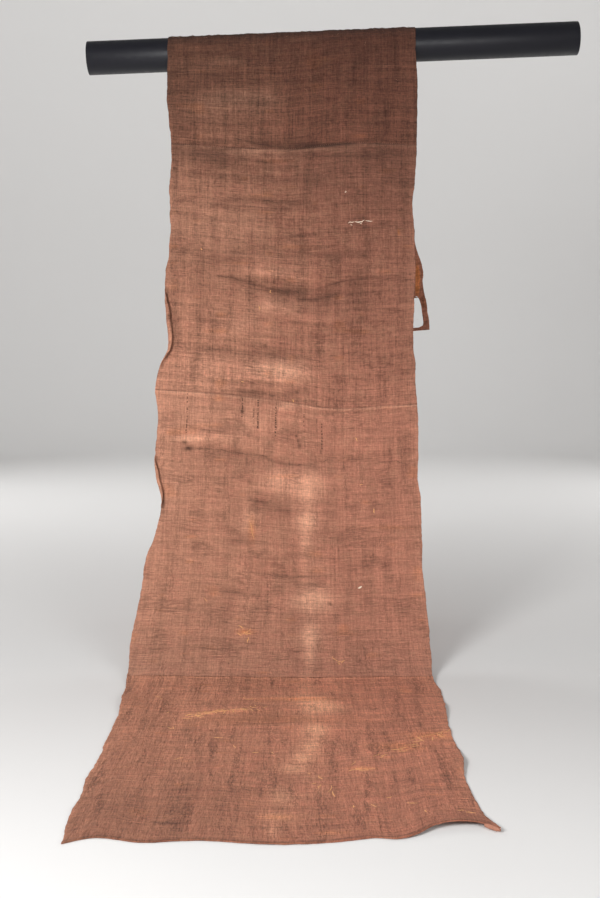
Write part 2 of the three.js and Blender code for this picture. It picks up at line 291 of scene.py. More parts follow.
CREASES = (
    Fold(-325, -45, 122, 140, -44, 13, -2.2, 0.3),
    Fold(-170, -15, 136, 176, 8, 8, 2.4),
    Fold(140, 372, 88, 80, -3, 6, 1.5),
    Fold(-185, 75, 286, 318, 12, 12, -3.4, 0.95),
    Fold(-10, 210, 310, 304, 6, 12, -3.6, 1.1),
    Fold(95, 285, 309, 290, 4, 6, -1.4, 0.35),
    Fold(-150, -20, 306, 340, 4, 9, 3.4),
    Fold(-310, -190, 340, 338, 0, 9, -1.8, 0.6),
    Fold(-360, -180, 308, 308, 0, 7, -1.6, 0.45),
    Fold(-335, -155, 331, 326, 0, 7, -1.6, 0.55),
    Fold(-172, 35, 316, 352, 18, 8, 2.8),
    Fold(-175, 35, 346, 381, 5, 9, -2.6, 0.55),
    Fold(-128, 30, 381, 396, 8, 7, 2.2),
    Fold(0, 345, 338, 316, -8, 8, 1.8),
    Fold(28, 350, 349, 339, 2, 5, -1.4, 0.6),
    Fold(-305, -145, 389, 371, 0, 7, -1.8, 0.4),
    Fold(-225, 85, 470, 489, 4, 9, -2.8, 0.65),
    Fold(45, 145, 459, 462, 0, 6, -1.0, 0.3),
    Fold(-350, -170, 520, 536, 4, 8, -1.2, 0.25),
    Fold(-320, -130, 596, 608, -6, 8, -1.8, 0.35),
    Fold(-140, 315, 606, 622, 34, 9, -2.2, 0.35),
    Fold(-260, 20, 628, 662, 10, 9, 1.8),
    Fold(-300, -60, 652, 674, 4, 9, -2.0, 0.4),
    Fold(-190, 90, 678, 730, 8, 10, 3.4),
    Fold(-55, 45, 667, 687, 0, 5, -1.2, 0.3),
    Fold(-230, -95, 714, 730, 2, 9, -3.4, 0.8),
    Fold(-150, 60, 728, 758, 10, 9, -3.8, 0.9),
    Fold(60, 378, 756, 730, -22, 8, -3.2, 0.9),
    Fold(10, 150, 784, 762, 8, 9, -3.0, 0.9),
    Fold(-220, -50, 736, 778, 2, 8, 2.0),
    Fold(-50, 155, 790, 834, 34, 7, 2.4),
    Fold(-280, -190, 852, 862, 0, 8, -1.6, 0.35),
    Fold(-345, -240, 918, 920, 0, 5, -1.4, 0.5),
    Fold(-350, -80, 931, 944, 2, 6, -2.4, 0.75),
    Fold(-120, 110, 943, 977, 2, 7, -2.0, 0.6),
    Fold(148, 236, 953, 940, 0, 5, -1.6, 0.7),
    Fold(-235, 45, 1037, 1056, -4, 8, -2.2, 0.45),
    Fold(-180, -10, 1062, 1078, 0, 8, -2.4, 0.6),
    Fold(-60, 30, 1112, 1122, 8, 8, 2.6),
    Fold(-372, -240, 1072, 1076, 0, 6, 1.6),
    Fold(200, 362, 1116, 1112, 0, 6, 1.6),
    Fold(-310, -170, 1167, 1197, 4, 7, -2.0, 0.6),
    Fold(-345, -235, 1211, 1214, 0, 6, 2.0),
    Fold(-285, -55, 1239, 1268, -6, 7, -2.8, 0.75),
    Fold(-95, 115, 1257, 1268, 24, 7, -3.2, 0.85),
    Fold(85, 335, 1268, 1284, 0, 6, -1.6, 0.45),
    Fold(60, 370, 1330, 1322, 0, 8, -1.2, 0.2),
    Fold(-130, -50, 1393, 1401, 0, 8, -2.6, 0.65),
    Fold(-370, -170, 1556, 1548, 0, 7, 1.4, 0.12),
    Fold(-122, 112, 1610, 1622, 8, 6, -2.4, 0.6),
    Fold(-230, -55, 1671, 1690, 0, 6, -1.8, 0.5),
    Fold(210, 315, 1697, 1702, 0, 5, -1.4, 0.4),
    Fold(-180, -45, 1835, 1861, 0, 6, -1.4, 0.3),
    Fold(-275, -150, 1871, 1877, 0, 6, -1.8, 0.55),
    Fold(-250, -70, 2309, 2248, 0, 9, 2.6),
    Fold(-140, 45, 2361, 2338, 4, 10, -2.0, 0.45),
    Fold(40, 140, 2338, 2358, 4, 8, -1.4, 0.35),
    Fold(-240, -168, 2919, 2921, 0, 12, -3.0, 1.2),
)
SWELLS = (
    Swell(-385, 1260, 45, 60, 14),
    Swell(-372, 1400, 50, 45, -10),
    Swell(40, 800, 220, 260, -8),
    Swell(260, 1500, 140, 300, 6),
    Swell(-260, 1750, 150, 220, 8),
    Swell(305, 2975, 58, 70, 14),
    Swell(370, 2240, 40, 60, 5),
    Swell(365, 2600, 40, 60, 6),
    Swell(-400, 2200, 45, 80, 9),
    Swell(60, -760, 240, 200, 8),
    Swell(400, -860, 60, 90, 6),
)
ROLLS = (Roll(748, 996, 27, 6.2), Roll(1262, 1418, 19, 4.6))

# The tear in the back panel's right corner. Here along is the height under the rod's axis.
TEAR = (
    SeamPoint(392, 745),
    SeamPoint(402, 756),
    SeamPoint(408, 775),
    SeamPoint(412, 803),
    SeamPoint(416, 832),
    SeamPoint(413, 844),
    SeamPoint(392, 849),
    SeamPoint(350, 851),
    SeamPoint(344, 838),
    SeamPoint(362, 806),
    SeamPoint(371, 772),
)

# Pale marks where the cloth was folded and rubbed, and thin painted highlights along the rod seam's lapped
# edge. Height is the mark's strength.
PALE_MARKS = (
    Swell(-18, 1008, 62, 30, 0.95),
    Swell(-80, 996, 60, 30, 0.45),
    Swell(25, 1346, 74, 46, 0.42),
    Swell(48, 1376, 34, 36, 0.45),
    Swell(-50, 1340, 44, 32, 0.4),
    Swell(44, 1461, 30, 26, 0.95),
    Swell(-118, 1462, 26, 34, 0.5),
    Swell(40, 1520, 16, 26, 0.5),
    Swell(66, 1704, 44, 36, 1.05),
    Swell(20, 1710, 40, 26, 0.35),
    Swell(52, 1826, 26, 38, 1.0),
    Swell(50, 1900, 14, 44, 0.5),
    Swell(-6, 2160, 52, 22, 0.4),
    Swell(70, 2222, 36, 56, 1.2),
    Swell(100, 2236, 34, 30, 0.4),
    Swell(62, 2415, 20, 46, 0.9),
    Swell(50, 2505, 19, 34, 0.9),
    Swell(30, 2578, 22, 30, 0.9),
    Swell(11, 2640, 24, 26, 0.95),
    Swell(-11, 2795, 21, 42, 0.85),
    Swell(-15, 2890, 28, 18, 0.95),
    Swell(-22, 2955, 14, 30, 0.5),
    Swell(52, 1600, 26, 420, 0.22),
    Swell(40, 2400, 30, 380, 0.22),
    Swell(-225, 195, 110, 60, 0.42),
    Swell(-90, 180, 60, 45, 0.42),
    Swell(-280, 60, 90, 40, 0.2),
    Swell(-170, 285, 120, 30, 0.2),
    Swell(-130, 336, 90, 9, 0.4),
    Swell(-195, 50, 50, 12, 0.4),
    Swell(-186, 160, 90, 24, 0.45),
    Swell(120, 328, 100, 7, 0.35),
    Swell(-250, 560, 110, 70, 0.3),
    Swell(-130, 570, 60, 50, 0.2),
    Swell(-60, 700, 90, 18, 0.3),
    Swell(-50, 806, 70, 26, 0.45),
    Swell(-150, 866, 50, 28, 0.35),
    Swell(-250, 1000, 110, 50, 0.25),
    Swell(-300, 1120, 90, 60, 0.3),
    Swell(-120, 1170, 70, 60, 0.25),
    Swell(-298, 1213, 42, 9, 1.0),
    Swell(-210, 1212, 60, 12, 0.35),
    Swell(-16, 1113, 28, 9, 0.8),
    Swell(-345, 1330, 50, 110, 0.25),
)
# Darker places: painted shade in hollows, under folds, along the rod seam and beside the left roll; also
# worn-in dirt and spots. Height is the mark's strength.
DARK_MARKS = (
    Swell(-297, 1240, 13, 6, 1.1),
    Swell(-308, 1222, 7, 6, 0.8),
    Swell(-143, 1128, 5, 5, 1.3),
    Swell(-14, 116, 8, 4, 1.0),
    Swell(-232, 92, 80, 12, 0.3),
    Swell(-290, 130, 50, 14, 0.25),
    Swell(264, 129, 8, 10, 0.6),
    Swell(0, 297, 100, 17, 0.3),
    Swell(90, 314, 90, 8, 0.5),
    Swell(-290, 342, 60, 9, 0.4),
    Swell(230, 343, 130, 7, 0.3),
    Swell(-209, 354, 46, 18, 0.35),
    Swell(136, 344, 10, 6, 0.5),
    Swell(-193, 489, 40, 16, 0.3),
    Swell(-190, 655, 90, 30, 0.28),
    Swell(-14, 757, 52, 13, 0.34),
    Swell(110, 800, 120, 60, 0.14),
    Swell(-65, 950, 60, 13, 0.4),
    Swell(-120, 1066, 50, 13, 0.4),
    Swell(0, 1072, 36, 9, 0.45),
    Swell(150, 1075, 70, 24, 0.16),
    Swell(-186, 1180, 30, 13, 0.4),
    Swell(-163, 1225, 5, 22, 0.45),
    Swell(-28, 1420, 42, 34, 0.35),
    Swell(-366, 1410, 14, 30, 0.3),
    Swell(-140, 1522, 44, 20, 0.35),
    Swell(110, 1440, 30, 70, 0.2),
    Swell(10, 1770, 34, 60, 0.2),
    Swell(210, 1700, 12, 8, 0.3),
    Swell(107, 1717, 4, 5, 0.9),
    Swell(14, 1202, 5, 5, 0.9),
    Swell(20, 1216, 5, 5, 0.8),
    Swell(24, 1232, 6, 5, 0.8),
    Swell(-128, 1275, 5, 26, 0.4),
    Swell(60, 420, 90, 40, 0.2),
    Swell(-50, 2318, 115, 34, 0.3),
    Swell(-280, 2850, 100, 110, 0.16),
    Swell(335, 2920, 45, 50, 0.3),
)
# Undyed, orange raffia that shows between the reddened threads. Height is the strength.
AMBER_MARKS = (
    Swell(-150, 2278, 90, 9, 0.16),
    Swell(235, 2510, 50, 28, 0.3),
    Swell(315, 2435, 60, 28, 0.36),
    Swell(150, 2640, 30, 8, 0.3),
    Swell(-120, 1812, 20, 9, 0.6),
    Swell(-40, 2330, 160, 34, 0.18),
    Swell(396, -882, 6, 34, 4.5),
    Swell(320, 582, 3, 9, 0.9),
    Swell(-110, 1485, 10, 34, 0.4),
    Swell(20, 2165, 95, 14, 0.4),
    Swell(-15, 2892, 30, 12, 0.35),
)
SLITS = (
    Slit(-303, 1074, 1195, 2.6, 0.7),
    Slit(-143, 1083, 1145, 3.2, 0.8),
    Slit(-97, 1092, 1180, 3.4, 0.8),
    Slit(-109, 1110, 1165, 2.6, 0.6),
    Slit(-46, 1096, 1205, 3.6, 0.85),
    Slit(36, 1130, 1175, 2.8, 0.7),
    Slit(88, 1165, 1245, 3.0, 0.75),
    Slit(73, 1140, 1190, 2.4, 0.5),
    Slit(150, 1240, 1300, 2.4, 0.4),
    Slit(-63, 1640, 1755, 2.0, 0.6),
    Slit(122, 1548, 1645, 1.8, 0.5),
    Slit(121, 1745, 1836, 1.8, 0.5),
    Slit(195, 1370, 1430, 1.8, 0.4),
    Slit(160, 560, 760, 1.8, 0.3),
    Slit(-205, 2680, 2822, 2.4, 0.55),
)
STRANDS = (
    Strand(-118, 1456, -103, 1516, 1.6),
    Strand(-132, 1822, -104, 1800, 1.8),
    Strand(128, 2625, 140, 2600, 1.8),
    Strand(138, 2648, 176, 2642, 2.0),
    Strand(80, 2770, 88, 2735, 1.8),
    Strand(-230, 2310, -76, 2248, 1.4),
    Strand(-238, 2300, -150, 2272, 1.2),
    Strand(262, 2470, 344, 2404, 1.2),
    Strand(-236, 1700, -224, 1712, 1.4),
)
STRAND_RUNS = (
    StrandRun(-240, 2306, -160, 2276, 12, 24, 16),
    StrandRun(-150, 2280, -60, 2256, 7, 22, 10),
    StrandRun(175, 2580, 355, 2410, 16, 28, 16),
    StrandRun(-140, 1790, -105, 1830, 6, 18, 16),
    StrandRun(110, 1900, 130, 1940, 4, 20, 10),
    StrandRun(-110, 2130, -80, 2250, 4, 18, 20),
    StrandRun(60, 2680, 90, 2780, 3, 26, 14),
    StrandRun(120, 2655, 150, 2650, 4, 26, 6),
    StrandRun(-330, 2090, -250, 2530, 6, 16, 40),
    StrandRun(-200, 2400, 120, 2860, 8, 16, 60),
    StrandRun(180, 2800, 340, 2880, 5, 18, 30),
    StrandRun(-300, 600, 300, 1500, 8, 14, 120),
)
SCRATCH = (
    Strand(168, 552, 187, 548, 2.4),
    Strand(189, 549, 218, 545, 3.0),
    Strand(221, 544, 241, 548, 2.2),
    Strand(175, 558, 181, 558, 1.8),
    Strand(203, 554, 211, 553, 1.6),
    Strand(184, 1668, 194, 1662, 5.0),
    Strand(159, 459, 165, 457, 3.0),
)

# How light the cloth is near its selvedges. This is mostly painted light and shade: darker towards the rod
# and darkest on its crest, and lighter on the left over the upper fall. In part it is the top's own darker
# colour.
PAINTED_LIGHT_TONES = (
    Tone(-1050, 0.7, 0.75),
    Tone(-860, 0.65, 0.95),
    Tone(-700, 0.6, 0.72),
    Tone(-200, 0.46, 0.46),
    Tone(-76, 0.21, 0.2),
    Tone(0, 0.26, 0.23),
    Tone(170, 0.37, 0.31),
    Tone(300, 0.49, 0.36),
    Tone(360, 0.56, 0.41),
    Tone(430, 0.75, 0.45),
    Tone(600, 0.78, 0.6),
    Tone(800, 0.9, 0.67),
    Tone(1000, 1.06, 0.78),
    Tone(1150, 1.04, 1.05),
    Tone(1600, 1.07, 1.03),
    Tone(1900, 1.05, 1.12),
    Tone(2050, 1.15, 1.22),
    Tone(2350, 1.07, 1.2),
    Tone(2600, 0.98, 1.13),
    Tone(2750, 0.86, 1.06),
    Tone(2950, 0.76, 1.0),
)


# Small helpers


def read_table(rows: tuple, key: str, column: str, places: np.ndarray) -> np.ndarray:
    """Reads a column of a table at many places, on smooth curves through its rows.

    Args:
        rows: The table's rows, sorted by key.
        key: The column that places are given in.
        column: The column to read.
        places: Where to read it.

    Returns:
        The column's values, as many as places.
    """
    keys = np.array([getattr(row, key) for row in rows], float)
    values = np.array([getattr(row, column) for row in rows], float)
    inside = np.clip(places, keys[0], keys[-1])
    i = np.clip(np.searchsorted(keys, inside, side="right") - 1, 0, len(keys) - 2)
    before = np.maximum(np.arange(len(keys)) - 1, 0)
    after = np.minimum(np.arange(len(keys)) + 1, len(keys) - 1)
    slopes = (values[after] - values[before]) / (keys[after] - keys[before])
    span = keys[i + 1] - keys[i]
    t = (inside - keys[i]) / span
    start = (1 + 2 * t) * (1 - t) ** 2 * values[i] + t * (1 - t) ** 2 * span * slopes[i]
    end = t**2 * (3 - 2 * t) * values[i + 1] + t**2 * (t - 1) * span * slopes[i + 1]
    return start + end


def seam_at(seam: tuple[SeamPoint, ...], across: np.ndarray) -> np.ndarray:
    """How far along a seam or hem lies, at places across the cloth."""
    return read_table(seam, "across", "along", across)


def ease(value: np.ndarray, low: float, high: float) -> np.ndarray:
    """0 below low, 1 above high, and smooth between them."""
    t = np.clip((value - low) / (high - low), 0.0, 1.0)
    return t * t * (3 - 2 * t)


def ridge(distance: np.ndarray, spread: float) -> np.ndarray:
    """1 on a line, falling off smoothly over its spread."""
    return np.exp(-((distance / spread) ** 2))


def bell(across: np.ndarray, along: np.ndarray, mark: Swell) -> np.ndarray:
    """The height of one swell or mark at each place."""
    return mark.height * ridge(across - mark.across, mark.wide) * ridge(along - mark.along, mark.long)


@lru_cache(maxsize=None)
def noise_lattice(seed: int) -> np.ndarray:
    """Random values from -1 to 1 on a square lattice."""
    return np.random.default_rng(seed).uniform(-1.0, 1.0, (LATTICE, LATTICE))


def smooth_noise(u: np.ndarray, v: np.ndarray, seed: int) -> np.ndarray:
    """Smooth noise from -1 to 1 with one random value at each whole step of u and v.

    Args:
        u: First coordinate, in steps.
        v: Second coordinate, in steps.
        seed: Fixes the random values.

    Returns:
        The noise at each place.
    """
    lattice = noise_lattice(int(seed))
    iu, iv = np.floor(u).astype(int), np.floor(v).astype(int)
    fu, fv = u - iu, v - iv
    fu, fv = fu * fu * (3 - 2 * fu), fv * fv * (3 - 2 * fv)
    a = lattice[iu % LATTICE, iv % LATTICE]
    b = lattice[(iu + 1) % LATTICE, iv % LATTICE]
    c = lattice[iu % LATTICE, (iv + 1) % LATTICE]
    d = lattice[(iu + 1) % LATTICE, (iv + 1) % LATTICE]
    return (a * (1 - fu) + b * fu) * (1 - fv) + (c * (1 - fu) + d * fu) * fv


def line_noise(places: np.ndarray, step: float, row: float, seed: int) -> np.ndarray:
    """Smooth noise along one row of a lattice, with a random value at each step."""
    return smooth_noise(places / step, np.full_like(places, row), seed)


# The cloth's surface


@dataclass
class SideLine:
    """The cloth's middle layer seen from the side: over the floor, up the fall, round the rod and down."""

    rod_radius: float = 50.0
    rod_y: float = 896.0
    clearance: float = 1.0
    thickness: float = 2.0
    height: float = 1740.0
    bend_length: float = 380.0
    bend_power: float = 1.1
    floor_run: float = 1000.0
    back_drop: float = 900.0
    step: float = 4.0
    along: np.ndarray = field(init=False)
    y: np.ndarray = field(init=False)
    z: np.ndarray = field(init=False)
    slope: np.ndarray = field(init=False)
    wrap: float = field(init=False)
    landing: float = field(init=False)
    axis_z: float = field(init=False)

    def __post_init__(self) -> None:
        """Walks up the fall from the floor, round the rod and down behind it."""
        ups, reaches, heights = [0.0], [0.0], [self.thickness / 2]
        while heights[-1] < self.height:
            middle = self.slope_at(ups[-1] + self.step / 2)
            reaches.append(reaches[-1] + self.step * math.cos(middle))
            heights.append(heights[-1] + self.step * math.sin(middle))
            ups.append(ups[-1] + self.step)
        top_slope = self.slope_at(ups[-1])
        radius = self.rod_radius + self.clearance + self.thickness / 2
        self.axis_z = heights[-1] - radius * math.cos(top_slope)
        leave_y = self.rod_y - radius * math.sin(top_slope)
        self.wrap = radius * (top_slope + math.pi / 2)
        gone = np.arange(self.wrap, 0.0, -self.step)
        round_slope = top_slope - gone / radius
        up = np.array(ups[::-1])
        self.landing = float(up[0])
        self.along = np.concatenate(
            [[-self.wrap - self.back_drop], -gone, up[0] - up, [self.landing + self.floor_run]]
        )
        landing_y = leave_y - reaches[-1]
        self.y = np.concatenate(
            [
                [self.rod_y + radius],
                self.rod_y - radius * np.sin(round_slope),
                leave_y - (reaches[-1] - np.array(reaches[::-1])),
                [landing_y - self.floor_run],
            ]
        )
        self.z = np.concatenate(
            [
                [self.axis_z - self.back_drop],
                self.axis_z + radius * np.cos(round_slope),
                heights[::-1],
                [self.thickness / 2],
            ]
        )
        self.slope = np.concatenate(
            [[-math.pi / 2], round_slope, [self.slope_at(x) for x in ups[::-1]], [0.0]]
        )

    def slope_at(self, up: float) -> float:
        """The fall's slope at a length of cloth above the floor."""
        return math.atan((up / self.bend_length) ** self.bend_power)

    def at(self, along: np.ndarray) -> tuple[np.ndarray, np.ndarray, np.ndarray]:
        """The line's y, z and slope at each length along the cloth.

        Args:
            along: Places along the cloth.

        Returns:
            Three arrays: y and z in millimetres, and the slope in radians.
        """
        return (
            np.interp(along, self.along, self.y),
            np.interp(along, self.along, self.z),
            np.interp(along, self.along, self.slope),
        )


@dataclass
class ClothSurface:
    """The hanging cloth's middle layer with its folds, creases and uneven edges."""

    line: SideLine
    middle_x: float = -125.0
    rod_fade: float = 90.0
    floor_fade: float = 120.0
    edge_wave: float = 2.6
    edge_wave_step: float = 62.0
    edge_wave_reach: float = 26.0
    edge_wobble: float = 1.9
    wobble_steps: tuple[float, ...] = (41.0, 17.0, 8.0)
    wobble_drop: float = 0.6
    crumple: float = 1.1
    crumple_steps: tuple[float, ...] = (95.0, 38.0, 16.0)
    crumple_drop: float = 0.8
    crumple_wide: float = 1.3
    crest: float = 2.6
    crest_reach: float = 34.0
    roll_power: float = 0.55

    def edges(self, along: np.ndarray) -> tuple[np.ndarray, np.ndarray]:
        """The left and right selvedges, with the small unevenness of a hand-woven edge.

        Args:
            along: Places along the cloth.

        Returns:
            How far across the left and the right selvedge lie at those places.
        """
        left = read_table(SECTIONS, "along", "left", along)
        right = read_table(SECTIONS, "along", "right", along)
        for number, step in enumerate(self.wobble_steps):
            share = self.edge_wobble / (1 + number * self.wobble_drop)
            left = left + share * line_noise(along, step, 3.5, Seed.LEFT_EDGE + number)
            right = right + share * line_noise(along, step, 7.5, Seed.RIGHT_EDGE + number)
        for roll in ROLLS:
            arc = self.roll_arc(roll, along)
            left = left - arc + roll.radius * np.sin(np.minimum(arc / roll.radius, np.pi / 2))
        return left, right

    def roll_arc(self, roll: Roll, along: np.ndarray) -> np.ndarray:
        """How much of the selvedge is rolled in at each length along the cloth."""
        share = np.sin(np.pi * np.clip((along - roll.start) / (roll.end - roll.start), 0, 1))
        return roll.width * share**self.roll_power

    def relief(
        self, across: np.ndarray, along: np.ndarray, left: np.ndarray, right: np.ndarray
    ) -> np.ndarray:
        """How far the cloth stands off its side line.

        Args:
            across: Places across the cloth.
            along: Places along it.
            left: The left selvedge at those places.
            right: The right selvedge at those places.

        Returns:
            The height, which is never under the floor.
        """
        height = np.zeros_like(across)
        for fold in FOLDS + CREASES:
            height += fold_height(fold, across, along)
        for swell in SWELLS:
            height += bell(across, along, swell)
        for number, distance in enumerate((across - left, right - across)):
            wave = line_noise(along, self.edge_wave_step, 1.5, Seed.EDGE_WAVE + number)
            height += self.edge_wave * wave * np.exp(-distance / self.edge_wave_reach)
        for number, step in enumerate(self.crumple_steps):
            share = self.crumple / (1 + number * self.crumple_drop)
            crumple = smooth_noise(across / (step * self.crumple_wide), along / step, Seed.CRUMPLE + number)
            height += share * crumple
        off_rod = ease(along, 0, self.rod_fade) + ease(-along - self.line.wrap, 0, self.rod_fade)
        near_crest = ridge(along + self.line.wrap / 2, self.crest_reach)
        bumps = smooth_noise(across / 17, along / 19, Seed.CREST)
        bumps = bumps + 0.6 * smooth_noise(across / 5.5, along / 9, Seed.CREST + 1)
        bumps = self.crest * near_crest * np.clip(bumps, 0, 1)
        near_floor = self.line.landing - self.floor_fade
        on_floor = ease(along, near_floor - self.floor_fade, near_floor)
        return off_rod * (height * (1 - on_floor) + np.maximum(height, 0) * on_floor) + bumps

    def places(self, share: np.ndarray, along: np.ndarray) -> tuple[np.ndarray, np.ndarray, np.ndarray]:
        """Across, left and right at each share of the width."""
        left, right = self.edges(along)
        return left + (right - left) * share, left, right

    def points(self, share: np.ndarray, along: np.ndarray) -> np.ndarray:
        """The middle layer's points, in millimetres, at shares of the width and lengths along the cloth.

        Args:
            share: Shares of the width, from the left.
            along: Lengths along the cloth.

        Returns:
            The points, with x, y and z last.
        """
        across, left, right = self.places(share, along)
        rise = np.radians(read_table(SECTIONS, "along", "rise", along))
        y, z, slope = self.line.at(along)
        height = self.relief(across, along, left, right)
        for roll in ROLLS:
            arc = self.roll_arc(roll, along)
            rolled = np.maximum(left + arc - across, 0)
            across = across + rolled - roll.radius * np.sin(rolled / roll.radius)
            height = height + roll.radius * (1 - np.cos(rolled / roll.radius))
        return np.stack(
            [
                self.middle_x + across,
                y - height * np.sin(slope),
                z + height * np.cos(slope) + across * np.tan(rise),
            ],
            axis=-1,
        )

    def normals(self, share: np.ndarray, along: np.ndarray) -> np.ndarray:
        """The outward directions: the viewer's side in front, up on the floor.

        Args:
            share: Shares of the width, from the left.
            along: Lengths along the cloth.

        Returns:
            A unit vector at each place.
        """
        share_step, along_step = 0.0012, 1.0
        right = self.points(np.minimum(share + share_step, 1), along)
        right -= self.points(np.maximum(share - share_step, 0), along)
        down = self.points(share, along + along_step) - self.points(share, along - along_step)
        out = np.cross(down, right)
        return out / np.linalg.norm(out, axis=-1, keepdims=True)

    def on_cloth(self, across: np.ndarray, along: np.ndarray, lift: float) -> np.ndarray:
        """Points in metres that lie a lift over the cloth's middle layer.

        Args:
            across: Places across the cloth.
            along: Places along it.
            lift: How far over the middle layer they lie, in millimetres.

        Returns:
            The points.
        """
        left, right = self.edges(along)
        share = np.clip((across - left) / (right - left), 0, 1)
        return (self.points(share, along) + self.normals(share, along) * lift) * MM


def fold_distance(fold: Fold, across: np.ndarray, along: np.ndarray) -> tuple[np.ndarray, np.ndarray]:
    """Where places lie on one fold.

    Args:
        fold: The fold.
        across: Places across the cloth.
        along: Places along it.

    Returns:
        How far each place lies from the fold's line, and how much of the fold is there, from 0 to 1.
    """
    t = np.clip((across - fold.left) / (fold.right - fold.left), 0, 1)
    line = fold.at_left + (fold.at_right - fold.at_left) * t + fold.sag * 4 * t * (1 - t)
    return along - line, np.sin(np.pi * t)


def fold_height(fold: Fold, across: np.ndarray, along: np.ndarray) -> np.ndarray:
    """The height of one fold at each place."""
    distance, taper = fold_distance(fold, across, along)
    return fold.height * taper * ridge(distance, fold.spread)


# Materials


class NodeKit:
    """Adds nodes to one tree and links them."""

    def __init__(self, tree: bpy.types.NodeTree) -> None:
        """Keeps the tree that nodes go to."""
        self.tree = tree

    def add(
        self, kind: str, inputs: dict[str | int, object] | None = None, **settings: object
    ) -> bpy.types.Node:
        """A new node.

        Args:
            kind: The node's type.
            inputs: What each input is linked or set to, by name or number.
            settings: The node's own settings.

        Returns:
            The node.
        """
        node = self.tree.nodes.new(kind)
        for name, value in settings.items():
            setattr(node, name, value)
        for label, value in (inputs or {}).items():
            self.feed(node.inputs[label], value)
        return node

    def feed(self, socket: Socket, value: object) -> None:
        """Links a socket into another, or sets its value.

        Args:
            socket: The input.
            value: A socket or a plain value.
        """
        if isinstance(value, Socket):
            self.tree.links.new(value, socket)
        else:
            socket.default_value = value

    def math(self, operation: str, a: object, b: object = 0.0, clamp: bool = False) -> Socket:
        """The result of a Math node."""
        return self.add("ShaderNodeMath", {0: a, 1: b}, operation=operation, use_clamp=clamp).outputs[0]

    def plus(self, a: object, b: object) -> Socket:
        """a and b added."""
        return self.math("ADD", a, b)

    def minus(self, a: object, b: object) -> Socket:
        """a less b."""
        return self.math("SUBTRACT", a, b)

    def times(self, a: object, b: object) -> Socket:
        """a times b."""
        return self.math("MULTIPLY", a, b)

    def most(self, a: object, b: object) -> Socket:
        """The larger of a and b."""
        return self.math("MAXIMUM", a, b)

    def size(self, a: object) -> Socket:
        """a without its sign."""
        return self.math("ABSOLUTE", a)

    def centred(self, noise: object) -> Socket:
        """Noise of 0 to 1, laid about 0."""
        return self.minus(noise, 0.5)

    def madd(self, a: object, b: object, c: object) -> Socket:
        """a times b, plus c."""
        return self.add("ShaderNodeMath", {0: a, 1: b, 2: c}, operation="MULTIPLY_ADD").outputs[0]

    def vector(self, x: object, y: object, z: object = 0.0) -> Socket:
        """A vector of three values."""
        return self.add("ShaderNodeCombineXYZ", {0: x, 1: y, 2: z}).outputs[0]

    def apart(self, place: object) -> tuple[Socket, Socket]:
        """The first two values of a vector: across and along."""
        node = self.add("ShaderNodeSeparateXYZ", {0: place})
        return node.outputs[0], node.outputs[1]

    def noise(self, vector: object, scale: float = 1.0, detail: float = 2.0, rough: float = 0.5) -> Socket:
        """Noise of about 0 to 1."""
        inputs = {"Vector": vector, "Scale": scale, "Detail": detail, "Roughness": rough}
        return self.add("ShaderNodeTexNoise", inputs, noise_dimensions="3D").outputs["Fac"]

    def streaks(
        self,
        place: tuple[Socket, Socket],
        scales: tuple[float, float],
        detail: float = 2.0,
        rough: float = 0.5,
        layer: float = 0.0,
    ) -> Socket:
        """Noise drawn out one way.

        Args:
            place: Across and along.
            scales: The noise's scale across and along.
            detail: The noise's detail.
            rough: The noise's roughness.
            layer: Tells apart two noises of like scales.

        Returns:
            The noise, of about 0 to 1.
        """
        across, along = (self.times(value, scale) for value, scale in zip(place, scales))
        return self.noise(self.vector(across, along, layer), 1.0, detail, rough)

    def span(
        self, value: object, low: float, high: float, to_low: float = 0.0, to_high: float = 1.0
    ) -> Socket:
        """A value's share of a range, smooth and clamped, and laid on another range."""
        inputs = {"Value": value, "From Min": low, "From Max": high, "To Min": to_low, "To Max": to_high}
        return self.add("ShaderNodeMapRange", inputs, interpolation_type="SMOOTHSTEP").outputs["Result"]

    def mix(self, share: object, a: object, b: object, blend: str = "MIX") -> Socket:
        """Two colours mixed."""
        settings = {"data_type": "RGBA", "blend_type": blend, "clamp_factor": True}
        return self.add("ShaderNodeMix", {0: share, 6: a, 7: b}, **settings).outputs[2]

    def attribute(self, name: str) -> Socket:
        """A value stored on the mesh."""
        return self.add("ShaderNodeAttribute", attribute_type="GEOMETRY", attribute_name=name).outputs["Fac"]

    def mask(self, tree: bpy.types.NodeTree, inputs: dict[str, object]) -> Socket:
        """The mask of a shared node group."""
        return self.add("ShaderNodeGroup", inputs, node_tree=tree).outputs["Mask"]

    def chance(self, low: float, high: float, seed: int) -> Socket:
        """A random value for each point, in a geometry tree."""
        inputs = {"Min": low, "Max": high, "Seed": seed}
        return self.add("FunctionNodeRandomValue", inputs, data_type="FLOAT").outputs[1]


def new_tree(kind: str, name: str, inputs: dict[str, object], outputs: dict[str, str]) -> tuple:
    """A node tree that is used as a group, with its sockets.

    Args:
        kind: The tree's type.
        name: The tree's name.
        inputs: Each input's name, with its socket type, or with its default where it is a number.
        outputs: Each output's name, with its socket type.

    Returns:
        The tree, a kit for it, and the sockets that its inputs come from and its outputs go to.
    """
    tree = bpy.data.node_groups.new(name, kind)
    for label, given in inputs.items():
        number = isinstance(given, float)
        socket_type = FLOAT if number else given
        socket = tree.interface.new_socket(label, in_out="INPUT", socket_type=socket_type)
        if number:
            socket.default_value = given
    for label, socket_type in outputs.items():
        tree.interface.new_socket(label, in_out="OUTPUT", socket_type=socket_type)
    kit = NodeKit(tree)
    return tree, kit, kit.add("NodeGroupInput").outputs, kit.add("NodeGroupOutput").inputs


